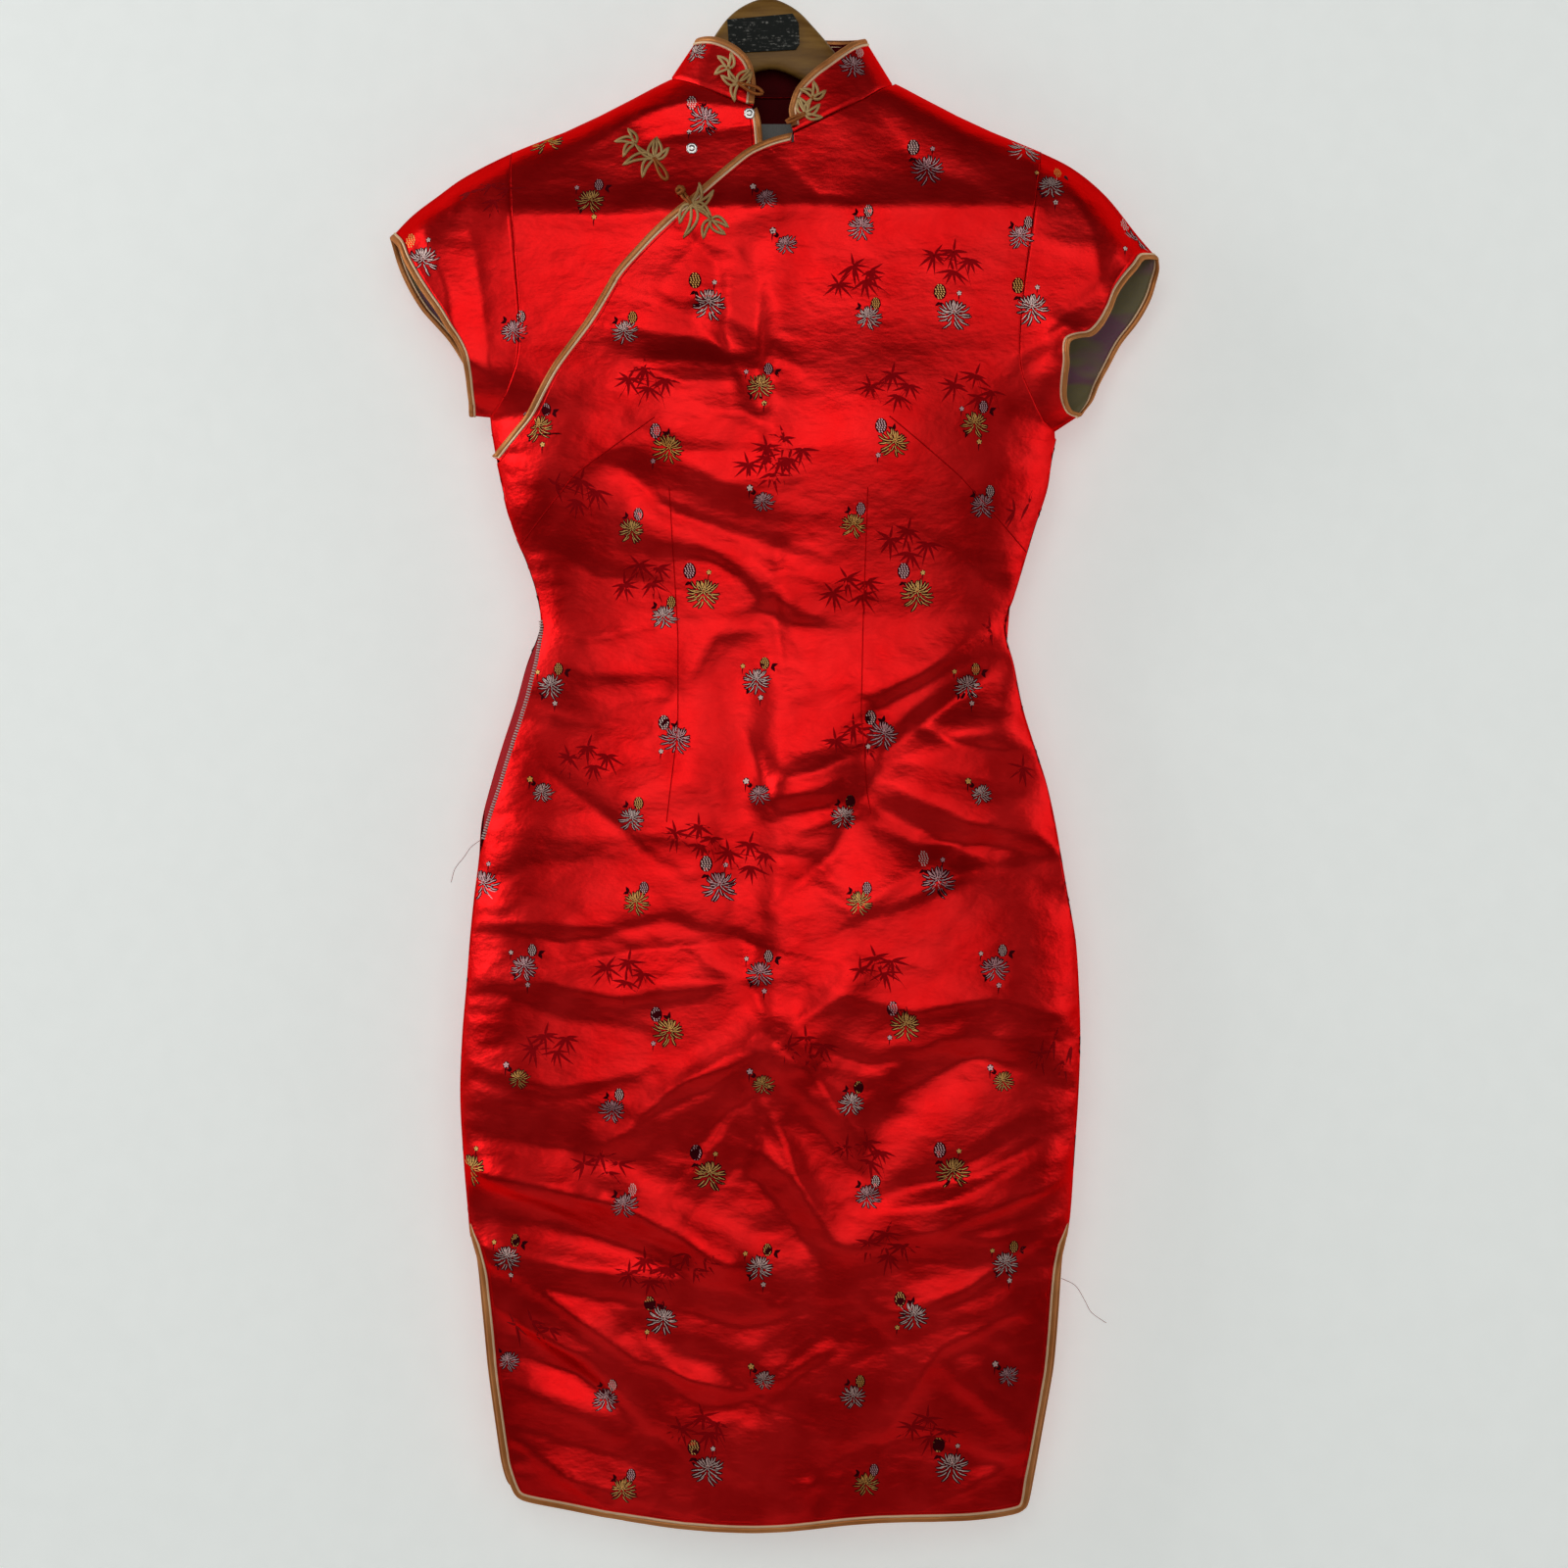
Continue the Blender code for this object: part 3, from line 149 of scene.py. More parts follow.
# Depth of each layer at mid-width: drop, depth
BULGES = {
    "front": [
        (120, 20), (200, 18), (300, 30), (400, 40), (500, 28), (530, 24), (650, 30), (800, 36), (1000, 28),
        (1190, 16),
    ],
    "back": [(120, 18), (200, 15), (400, 14), (530, 10), (800, 16), (1000, 14), (1190, 10)],
}
SIDE_REACH = 50.0
TOP_REACH = 12.0
FOLD_CALM = 20.0
TOP_SLANT = 0.88
BUSTS = [(-70, 376), (85, 383)]
BUST_HEIGHT = 8.0
BUST_REACH = 60.0
YOKE_LIFT = 6.0
SLIT_SPREAD = {
    "front": 3,
    "back": 2,
}
SLIT_SPREAD_DROPS = (955, 992)

# Largest folds: x and drop of both ends, height, half-width
FRONT_FOLDS = [
    (-188, 230, 190, 224, 2, 14), (2, 200, 6, 1170, 1.5, 12), (-105, 415, 0, 470, -3, 15),
    (-100, 450, -5, 500, 3, 15), (66, 640, 165, 555, -5, 17), (110, 610, 215, 600, 4, 17),
    (0, 655, 62, 630, 4, 13), (85, 665, 215, 715, -5, 17), (-25, 560, -12, 760, -4, 22),
    (-180, 590, -80, 570, -3, 17), (-200, 690, -60, 640, 3, 19), (-10, 880, 60, 785, 4, 16),
    (-120, 905, 0, 830, 5, 16), (0, 835, 58, 900, 5, 15), (70, 900, 150, 840, -4, 16),
    (-5, 910, 50, 975, 4, 15), (-225, 930, -120, 940, 4, 15), (-120, 940, -30, 988, 6, 16),
    (-210, 965, -70, 985, -5, 15), (70, 970, 215, 925, 5, 19), (-205, 1035, -85, 1110, -5, 17),
    (-190, 1085, -80, 1108, 4, 16), (-100, 1040, -20, 1084, -4, 15), (-20, 1084, 38, 1044, -4, 15),
    (150, 1075, 195, 1130, 4, 16),
]
BACK_FOLDS = [
    (-150, 420, 20, 480, 3, 22), (30, 560, 170, 640, 3, 24), (-180, 700, -20, 760, -3, 24),
    (10, 850, 190, 930, 3.5, 26), (-190, 980, -20, 1060, 3, 26), (20, 1000, 120, 1150, -3, 26),
]

# Folds seen in the cloth: height, width above and below, then x and drop of points along it
CREASES = [
    (3.6, 26, 30, -188.6, 230.4, -105.8, 233.3, -33.8, 227.5, 52.6, 225.4, 195.1, 223.2),
    (1.6, 6, 9, -105.8, 339.8, -62.6, 338.4, -5, 343.4),
    (-1.6, 9, 7, -105.8, 282.2, -51.8, 298.1, 2.2, 318.2),
    (-2, 8, 9, -62.6, 303.8, -37.4, 325.4, -19.4, 354.2), (-2.6, 10, 8, -8.6, 282.2, -10.8, 332.6, -6.5, 383),
    (1.6, 8, 6, -30.2, 275, -32.4, 318.2, -25.2, 368.6), (-1.5, 6, 7, -62.6, 246.2, -41, 264.2, -37.4, 282.2),
    (1.2, 4, 5, -51.8, 254.9, -25.2, 259.2, -19.4, 270.7), (-1.2, 6, 7, 182.2, 343.4, 211, 325.4),
    (1.2, 5, 5, 175, 334.1, 202.3, 319.7), (1.4, 8, 10, -163.4, 429.8, -120.2, 404.6, -69.8, 390.2),
    (-2.6, 11, 10, -113, 411.8, -69.8, 447.8, 2.2, 469.4),
    (1.4, 6, 8, -105.8, 426.2, -69.8, 440.6, 2.2, 469.4), (1.6, 7, 9, -62.6, 411.8, -33.8, 426.2, -5, 424.8),
    (-1.6, 9, 9, -105.8, 383, -62.6, 404.6, -12.2, 404.6), (-1.8, 6, 7, -5, 498.2, 9.4, 527),
    (1.6, 5, 7, -30.2, 518.4, 2.2, 509, 34.6, 519.8), (1.3, 5, 6, -19.4, 498.2, 9.4, 489.6, 45.4, 498.2),
    (-1.8, 8, 8, -62.6, 469.4, -19.4, 498.2, 2.2, 527), (2, 12, 9, -62.6, 570.2, -41, 534.2, 9.4, 527),
    (-1.8, 8, 8, 5.8, 469.4, 3.6, 527, 9.4, 570.2), (-2, 10, 10, -192.2, 570.2, -149, 595.4, -91.4, 602.6),
    (1.5, 8, 10, -185, 541.4, -134.6, 563, -69.8, 563), (-2.4, 11, 9, -19.4, 606.2, -5, 642.2, 9.4, 678.2),
    (-2.6, 10, 9, 81.4, 620.6, 117.4, 595.4, 160.6, 563), (1.8, 7, 7, 85, 602.6, 117.4, 578.9, 153.4, 557.3),
    (1.4, 5, 7, 153.4, 606.2, 189.4, 602.6), (1.4, 8, 9, 103, 570.2, 139, 550.1, 175, 541.4),
    (1.9, 6, 8, 2.2, 653, 34.6, 645.8, 67, 635), (1.7, 5, 6, 16.6, 678.2, 41.8, 669.6, 67, 663.8),
    (-1.4, 5, 5, 9.4, 666.7, 45.4, 658.1), (-2.8, 12, 11, 67, 656.6, 153.4, 699.8, 218.2, 717.8),
    (1.8, 10, 12, 81.4, 642.2, 146.2, 671, 203.8, 681.8),
    (-1.4, 8, 9, 110.2, 627.8, 160.6, 642.2, 196.6, 635), (2, 8, 9, 23.8, 714.2, 59.8, 735.8, 153.4, 678.2),
    (-1.5, 6, 8, -12.2, 692.6, 31, 699.8, 52.6, 717.8),
    (1.4, 10, 12, -134.6, 685.4, -77, 678.2, -33.8, 692.6),
    (-1.6, 10, 12, -206.6, 714.2, -163.4, 699.8, -105.8, 699.8),
    (1.8, 10, 12, -221, 750.2, -163.4, 743, -98.6, 753.8),
    (-1.9, 10, 10, -163.4, 779, -98.6, 764.6, -19.4, 757.4),
    (1.6, 8, 10, -134.6, 800.6, -69.8, 786.2, -12.2, 786.2),
    (-1.4, 10, 10, -206.6, 793.4, -149, 815, -91.4, 822.2), (2, 5, 7, 2.2, 829.4, -30.2, 847.4, -62.6, 858.2),
    (-2, 7, 6, 2.2, 829.4, -48.2, 865.4, -95, 887), (2, 5, 6, 2.2, 829.4, 34.6, 858.2, 59.8, 897.8),
    (-1.8, 6, 7, 2.2, 829.4, 41.8, 838.1, 81.4, 851), (1.8, 5, 6, 2.2, 829.4, 31, 807.8, 56.2, 793.4),
    (1.2, 4, 5, 2.2, 829.4, 45.4, 847.4, 88.6, 858.2), (-1.5, 6, 7, 2.2, 829.4, -12.2, 793.4, -48.2, 771.8),
    (2, 8, 7, -62.6, 933.8, -37.4, 901.4, -19.4, 865.4),
    (-1.8, 8, 8, -51.8, 948.2, -19.4, 915.8, -1.4, 879.8), (1.9, 6, 8, -5, 908.6, 23.8, 937.4, 45.4, 973.4),
    (-1.6, 7, 7, -19.4, 923, 9.4, 951.8, 31, 987.8), (-2, 9, 9, 81.4, 872.6, 153.4, 840.2, 196.6, 851),
    (1.7, 9, 9, 67, 858.2, 124.6, 829.4, 203.8, 829.4), (2.3, 8, 11, 67, 955.4, 124.6, 948.2, 196.6, 915.8),
    (-1.7, 8, 8, 74.2, 941, 124.6, 930.2, 189.4, 894.2), (1.8, 6, 9, 103, 966.2, 160.6, 974.9, 225.4, 959),
    (-1.7, 9, 10, 81.4, 984.2, 146.2, 995, 214.6, 984.2),
    (2.6, 7, 10, -221, 926.6, -163.4, 933.8, -105.8, 948.2, -30.2, 991.4),
    (-2.6, 8, 9, -213.8, 941, -134.6, 959, -62.6, 984.2),
    (-1.8, 10, 10, -221, 901.4, -156.2, 908.6, -98.6, 915.8),
    (1.5, 10, 12, -206.6, 872.6, -149, 879.8, -91.4, 869),
    (2.2, 7, 9, -206.6, 984.2, -134.6, 995, -69.8, 1002.2),
    (-1.9, 8, 9, -206.6, 1002.2, -141.8, 1015.2, -77, 1023.8),
    (2.2, 7, 9, -203, 1031, -134.6, 1059.8, -84.2, 1110.2),
    (-2, 8, 8, -206.6, 1059.8, -141.8, 1074.2, -77, 1113.8),
    (2, 9, 7, -105.8, 1034.6, -62.6, 1074.2, -19.4, 1085, 38.2, 1038.2),
    (-1.8, 7, 9, -98.6, 1056.2, -59, 1092.2, -15.8, 1103, 34.6, 1063.4),
    (1.5, 8, 8, -192.2, 1139, -134.6, 1153.4, -62.6, 1175),
    (-1.3, 9, 9, -192.2, 1113.8, -134.6, 1128.2, -69.8, 1146.2),
    (1.6, 7, 8, 124.6, 1067, 153.4, 1095.8, 182.2, 1117.4), (-1.4, 6, 7, 146.2, 1074.2, 189.4, 1110.2),
    (1.5, 7, 8, 124.6, 1167.8, 160.6, 1149.8, 196.6, 1124.6),
    (1.4, 10, 12, 67, 1023.8, 124.6, 1031, 182.2, 1016.6),
    (-1.3, 9, 9, 52.6, 1009.4, 81.4, 1045.4, 81.4, 1088.6), (1.1, 4, 4, 23.8, 1171.4, 29.5, 1146.2),
    (-1, 4, 4, 34.6, 1173.6, 39.6, 1144.8), (1, 4, 4, 45.4, 1171.4, 49.7, 1146.2),
    (1, 5, 5, -120.2, 1176.5, -105.8, 1157), (-0.9, 5, 5, -91.4, 1178.6, -77, 1159.2),
    (0.9, 5, 5, -62.6, 1180.8, -54, 1160.6), (-0.9, 6, 7, 9.4, 192.2, 34.6, 217.4, 81.4, 221),
    (1.6, 4, 6, -95, 152.6, -62.6, 146.9, -19.4, 151.2), (-1.4, 5, 5, -91.4, 174.2, -51.8, 167, -15.8, 163.4),
    (1.2, 6, 6, -134.6, 181.4, -105.8, 159.8, -69.8, 151.2), (1.3, 7, 8, -5, 231.8, -48.2, 246.2, -77, 282.2),
    (-0.9, 10, 10, 81.4, 159.8, 103, 188.6, 153.4, 210.2),
    (1.6, 10, 9, -257, 231.8, -235.4, 282.2, -228.2, 332.6),
    (-1.4, 10, 9, -228.2, 210.2, -213.8, 267.8, -206.6, 325.4),
    (1.4, 10, 10, 218.2, 203, 232.6, 239, 239.8, 282.2), (-1.5, 8, 8, 203.8, 311, 232.6, 289.4, 261.4, 260.6),
    (1.2, 6, 6, 200.2, 303.8, 218.2, 314.6, 239.8, 311), (0.9, 5, 6, 193, 246.2, 218.2, 254.9, 247, 259.2),
    (1.3, 7, 8, -242.6, 303.8, -221, 332.6, -199.4, 354.2),
    (3.4, 14, 7, -228.2, 926.6, -163.4, 946.1, -98.6, 974.9, -41, 1002.2),
    (3.6, 16, 7, -220.3, 987.1, -163.4, 1015.2, -95, 1062.7, -23.8, 1087.2),
    (3, 13, 6, -203, 1026, -145.4, 1058.4, -85.7, 1111.7),
    (2.2, 12, 6, -195.8, 1118.9, -163.4, 1140.5, -122.4, 1170),
    (2.6, 10, 6, -105.8, 894.2, -69.8, 861.1, -12.2, 830.9),
    (-2.6, 7, 12, -59, 915.8, -30.2, 879.8, 9.4, 856.8), (2.8, 9, 6, -8.6, 872.6, 9.4, 901.4, 30.2, 959),
    (-2.2, 6, 9, 20.2, 872.6, 45.4, 905, 67, 930.2), (3.4, 14, 7, 106.6, 970.6, 160.6, 953.3, 222.5, 930.2),
    (-2.4, 7, 13, 99.4, 937.4, 153.4, 927.4, 203.8, 901.4),
    (3, 13, 7, 92.2, 1103, 121, 1054.1, 189.4, 1023.8),
    (2.6, 12, 6, 103, 1023.8, 142.6, 1009.4, 196.6, 974.9),
    (-2.2, 8, 14, 52.6, 1131.8, 103, 1118.9, 182.2, 1146.2),
    (2.4, 9, 7, -23.8, 1087.2, 9.4, 1074.2, 41.8, 1052.6),
    (-2.4, 9, 14, -69.8, 1023.8, -19.4, 1038.2, 31, 1023.8),
    (-3.2, 7, 14, 67.7, 595.4, 103, 576.7, 153.4, 541.4), (2.2, 9, 6, 70.6, 578.9, 110.2, 563, 160.6, 527),
    (-3, 8, 15, 98.6, 595.4, 136.1, 614.9, 196.6, 622.1), (2.4, 8, 5, 2.9, 643, 32.4, 635, 67, 622.1),
    (2.2, 8, 5, 7.2, 656.6, 45.4, 650.9, 70.6, 638.6), (-2.6, 8, 12, -163.4, 635, -130.3, 659.5, -98.6, 684),
    (-3, 8, 15, 69.1, 672.5, 106.6, 686.9, 157, 686.9, 211, 699.8),
    (2.8, 12, 6, 85, 732.2, 127.4, 713.5, 182.2, 697), (-2.2, 9, 9, -37.4, 668.2, -32.4, 699.8, -25.2, 735.8),
    (-2.6, 9, 9, 11.5, 722.2, 45.4, 694.1, 61.2, 659.5), (-2.2, 7, 10, -72, 476.6, -41, 482.4, -15.8, 495.4),
    (2, 8, 5, -43.2, 375.1, -19.4, 377.3, 3.6, 390.2), (2, 8, 6, -5, 505.4, 18, 521.3, 54, 527),
    (-2.4, 8, 14, -206.6, 750.2, -149, 758.9, -77, 743, -19.4, 757.4),
    (2.4, 12, 6, -222.5, 793.4, -163.4, 786.2, -105.8, 799.2, -48.2, 790.6),
    (2.2, 12, 7, -217.4, 851, -156.2, 864, -98.6, 852.5),
    (2.6, 13, 7, 45.4, 793.4, 103, 807.8, 160.6, 797.8, 218.2, 815),
    (-2.4, 7, 13, 67, 847.4, 124.6, 838.1, 196.6, 858.2), (-2, 7, 11, -163.4, 469.4, -127.4, 491, -77, 498.2),
    (1.8, 10, 6, -174.2, 527, -134.6, 537.8, -84.2, 527),
    (-1.8, 7, 10, 124.6, 469.4, 153.4, 491, 185.8, 505.4),
    (2, 9, 6, -105.8, 282.2, -62.6, 295.2, -12.2, 282.2),
    (-2.2, 7, 11, -98.6, 314.6, -59, 319.7, -15.8, 334.1), (2, 9, 6, -95, 343.4, -62.6, 355.7, -19.4, 352.8),
]

CREASE_TIP = 1.1
SOFT_FLANK = 1.9
STEEP_FLANK = 0.75
CREASE_REACH = 3.5
CREASE_BOOST = 1.55
# Where the front lies smooth: x, drop, reach across and down, how smooth
SMOOTH_ZONES = [
    (118, 305, 92, 105, 0.8), (100, 180, 130, 50, 0.8), (-150, 290, 60, 90, 0.6), (-140, 480, 45, 60, 0.6),
    (135, 470, 55, 60, 0.7), (-50, 620, 40, 60, 0.5),
]

# Finished edges: x, drop
OVERLAP_EDGE = [
    (15.1, 170.3), (1.4, 173.5), (-17.3, 181.4), (-38.9, 200.2), (-61.2, 221.8), (-87.1, 244.1),
    (-112.3, 271.4), (-132.5, 306), (-158.4, 340.6), (-177.8, 373.7), (-200.2, 396.7), (-205.9, 401.8),
]
UNDERLAP_EDGE = [(-4.3, 203), (-5, 190), (-6, 176.2), (-7, 164), (-7.6, 154.8), (-10.4, 150.8)]
FRONT_HEM = [
    (-188.6, 1170), (-169, 1172.5), (-149, 1175), (-130, 1178), (-110.9, 1180.8), (-87, 1184.5),
    (-64.1, 1187.3), (-38, 1189.3), (-12.2, 1190.2), (10, 1189.2), (31, 1187.3), (55, 1184.5), (77.8, 1183),
    (101, 1182.6), (124, 1182.8), (146.9, 1183), (168, 1181.8), (188.6, 1179.4),
]
BACK_HEM = [
    (-194.4, 1164.2), (-171, 1168), (-149, 1171.5), (-124, 1175.5), (-98, 1179.5), (-64, 1184.5), (-30, 1188),
    (0, 1190), (31, 1190.9), (55, 1191), (77.8, 1190.9), (98, 1190), (117.4, 1188.7), (135, 1187.6),
    (153.4, 1186.6), (171, 1184.4), (189.4, 1181.5),
]
FRONT_SLITS = {
    "left": [
        (-218.6, 986), (-214.6, 1002.2), (-212, 1026), (-209.6, 1050), (-207.4, 1074.2), (-204.2, 1098),
        (-200.8, 1122), (-197.3, 1146.2),
    ],
    "right": [
        (191.5, 1158), (193.7, 1146.2), (198, 1122), (202.4, 1098), (206.6, 1074.2), (208.8, 1050),
        (210.6, 1026), (212.4, 1002.2), (215.6, 986),
    ],
}
BACK_SLIT_MARGIN = 2.4

# Collar stations round the neck: x and drop of the base, x and drop of the top
COLLAR = [
    (-21.6, 145.4, -15.1, 116.6), (-33.8, 140.4, -25.2, 105.1), (-51.8, 131.8, -38.9, 97.6),
    (-64, 126, -48, 95), (-73.4, 121.7, -54.7, 94), (-66, 124.4, -50, 92.6), (-50, 127, -39, 91.2),
    (-24, 129.2, -19, 90.2), (4, 130, 6, 90), (30, 129.2, 29, 90.4), (55, 127.4, 50, 91.6),
    (77, 125.8, 64, 93), (89.3, 126.7, 69.1, 94), (79, 134, 60, 100), (67, 142.6, 49.7, 108),
    (56, 148.6, 39.6, 116.4), (45.4, 154.1, 29.5, 124.6), (28.1, 162.7, 18, 137.5),
]
COLLAR_FOLDS = (4, 12)
COLLAR_ENDS = {
    "left": (-13, 148.3, -11.5, 132.5),
    "right": (15.8, 168.5, 13, 152.6),
}
COLLAR_LEAN = 0.85

# Sewn lines: points x, drop
DARTS = [
    [(-184.3, 467.3), (-141.8, 419), (-83.5, 380.2)], [(187.9, 472.3), (137, 421), (85, 379.4)],
    [(-73.4, 429.8), (-67.7, 537.8), (-67.7, 602.6), (-75.6, 671)],
    [(69.8, 429.8), (69.1, 458.6), (67, 524.9), (65.5, 591.8), (69.8, 648.7), (72.7, 665.3)],
]
# Drops of the first and the last tooth of the zip, and a tooth's size
ZIP_DROPS = (521.6, 685.4)
ZIP_TOOTH = (3.0, 1.4, 1.1)

# Threads of the woven flowers, and the thread that goes with each
SILVER, GOLD, LILAC, DARK = range(4)
SECOND_THREAD = {GOLD: LILAC, SILVER: GOLD, LILAC: SILVER}
# Rings of a flower's petals: number, petals, where they start, how long and how wide they are
PETAL_RINGS = ((0, 20, 0.5, 0.5, 0.07), (1, 15, 0.26, 0.4, 0.065), (2, 9, 0.04, 0.3, 0.06))
LEAF_SIDE = (0.12, 0.3, 0.55, 0.8)
# Parts of each group of flowers: kind, place across and down, size, turns in degrees
MOTIF_PARTS = {
    "spray": (
        ("flower", 2, 4, 11, -90), ("berry", -8, -13, 9.6), ("leaves", -8, -5, 4.5, 215, 310),
        ("bud", 6, -12, 1.7),
    ),
    "posy": (("flower", 0, 1, 8.5, -70), ("berry", 6, -10, 7.4), ("leaves", -5, -7, 4.5, 120, 200)),
    "pair": (
        ("flower", -2, 2, 9, -90), ("berry", 4, -11, 7.4), ("leaves", 9, -9, 5, 20, -60),
        ("leaves", -8, 8, 4, 250, 150), ("bud", 1, 14, 1.8), ("other bud", -12, -9, 1.6),
    ),
    "wreath": (
        ("flower", 2, 2, 10, -120), ("berry", -8, -11, 9), ("leaves", 1, -8, 5, 80, 150),
        ("other bud", -10, 10, 1.7),
    ),
    "bloom": (("flower", 1, 2, 7, -60), ("leaves", -4, -4, 4, 120, 170), ("other bud", -8, -8, 2.2)),
    "cluster": (("flower", 0, 2, 8.5, -100), ("berry", 5, -10, 7.6), ("leaves", -3, -8, 4.2, 110, 190)),
}
# Where each group lies in the repeat on the back
BACK_REPEAT = {
    "spray": (0, 0), "posy": (-59, 24), "pair": (41, 63), "wreath": (-28, 108), "bloom": (40, 145),
    "cluster": (-54, 166),
}

# Woven flowers on the front: kind, then x, drop and thread of each
MOTIFS = [
    ("spray", [
        (-46.8, 293, SILVER), (130.3, 300.2, SILVER), (-51.1, 501.8, GOLD), (104.4, 501.8, GOLD),
        (-38.9, 714.2, LILAC), (118.8, 710.6, LILAC), (-46.1, 923, GOLD), (130.3, 921.6, GOLD),
        (-48.2, 1139, SILVER), (130.3, 1139, SILVER), (-213.8, 714.2, LILAC), (-222.5, 923, GOLD),
        (111.6, 193, LILAC), (187.2, 295.2, SILVER), (-255.6, 259.2, SILVER), (-167, 169.2, GOLD),
        (184.3, 174.2, SILVER),
    ]),
    ("posy", [
        (-105.8, 316.8, SILVER), (69.8, 306, SILVER), (-78.5, 521.3, SILVER), (153.4, 440.6, LILAC),
        (-97.9, 728.6, GOLD), (63.4, 728.6, GOLD), (-105.8, 946.1, LILAC), (69.8, 941, LILAC),
        (-108, 1157, GOLD), (69.1, 1153.4, GOLD), (-187.2, 314.6, LILAC), (180.7, 246.2, LILAC),
    ]),
    ("pair", [
        (-167, 383, GOLD), (-5.8, 355.7, GOLD), (149.8, 381.6, GOLD), (-159.8, 570.2, SILVER),
        (-8.6, 566.6, SILVER), (146.2, 570.2, SILVER), (-177.8, 775.4, LILAC), (-5.8, 779, LILAC),
        (164.2, 775.4, LILAC), (-190.8, 987.8, SILVER), (-6.5, 991.4, SILVER), (172.8, 991.4, SILVER),
        (-128.9, 219.6, GOLD), (205.9, 206.6, SILVER),
    ]),
    ("wreath", [
        (87.1, 397.4, GOLD), (-74.9, 401, GOLD), (-69.8, 609.8, LILAC), (80.6, 606.2, LILAC),
        (-74.9, 820.8, GOLD), (95.8, 816.5, GOLD), (-79.9, 1031, SILVER), (101.5, 1027.4, SILVER),
        (-49.7, 158.4, LILAC), (268.6, 242.6, LILAC),
    ]),
    ("bloom", [
        (-7.2, 438.5, LILAC), (-168.5, 648, SILVER), (-10.1, 649.4, LILAC), (151.9, 649.4, SILVER),
        (-185, 856.1, GOLD), (-7.2, 858.2, GOLD), (167.8, 858.2, GOLD), (-194.4, 1065.6, LILAC),
        (-6.5, 1074.2, SILVER), (171.4, 1074.2, LILAC), (-5, 219.6, LILAC), (9.4, 252, LILAC),
    ]),
    ("cluster", [
        (65.5, 239, LILAC), (-100.8, 458.6, GOLD), (59.8, 455, GOLD), (-100.8, 667.4, SILVER),
        (52.6, 666, SILVER), (-114.5, 877.7, LILAC), (58.3, 872.6, SILVER), (-120.2, 1090.1, LILAC),
        (59.8, 1087.2, SILVER), (60, 117, LILAC),
    ]),
    ("bloom", [(-57, 104, SILVER)]),
]
# Bamboo sprays woven in the ground's own red: x, drop, turn in degrees
BAMBOO = [
    (130.3, 260.6, 12), (59.8, 275, -25), (85, 354.2, 5), (-95, 491, -20), (99.4, 465.8, 8),
    (-55.4, 678.2, 10), (23.8, 829.4, 0), (-62.6, 987.8, -10), (-141.8, 426.2, 20), (-5, 411.8, 0),
    (56.2, 498.2, -20), (146.2, 354.2, 15), (-91.4, 350.6, 10), (9.4, 401, 5), (-174.2, 1038.2, 0),
    (-105.8, 775.4, 12), (74.2, 771.8, -12), (196.6, 627.8, 0), (-51.8, 1106.6, 0), (113.8, 1110.2, 10),
    (-134.6, 620.6, 5), (59.8, 606.2, -10), (207.4, 836.6, 0), (-123.8, 915.8, 0), (67, 905, 10),
    (-19.4, 692.6, 8), (-163.4, 829.4, -8), (189.4, 440.6, 0), (-206.6, 210.2, 0), (175, 527, 10),
    (-91.4, 995, 0), (81.4, 973.4, 6),
]

# Frogs: root, petals (length, degrees above +X), the stem, the petals at its end, and the fitting
FROGS = {
    "frog_knot_chest": {
        "root": (-57.6, 226.1), "stem": (18, -37),
        "petals": [(17, 53), (18, 14), (16, -14), (22, -84), (15, -136)],
        "tip_petals": [(13, -8), (14.2, -58), (14, -125)], "knot": (-65.5, 214.2),
    },
    "frog_loop_chest": {
        "root": (-85, 188.6), "stem": (18, 142),
        "petals": [(15, 66), (12.5, 23), (14, 106), (22, 178), (16, -136)],
        "tip_petals": [(11.5, 100), (13.6, 156), (12, 212)], "loop": (-75.5, 205.5),
    },
    "frog_loop_collar": {
        "root": (-24, 134), "stem": (13, 124), "petals": [(12.5, 62), (12, 20), (13, 168), (12.5, -120)],
        "tip_petals": [(11, 62), (11, 118), (10, 190)], "loop": (-6, 141.5),
    },
    "frog_knot_collar": {
        "root": (25, 156.5), "stem": (13, 66), "petals": [(12, 22), (12, -24), (12, 132), (12, 96)],
        "tip_petals": [(10, 14), (11, 72), (10, 128)], "knot": (11, 163),
    },
}
CORD_RADIUS = 1.1
LOOP_RADIUS = 1.25
KNOT_SIZE = 2.6
SNAPS = {
    "snap_collar": (-15.8, 155.4),
    "snap_chest": (-57.6, 181.4),
}
# Half-section of a press snap: radius, height
SNAP_PROFILE = (
    (0.01, 0.1), (3.0, 0.1), (4.0, 0.25), (4.2, 0.55), (3.9, 0.9), (2.9, 1.0), (2.3, 0.85), (2.0, 1.1),
    (1.9, 1.7), (1.3, 2.0), (0.5, 1.95), (0.01, 1.9),
)


# Curves and tables


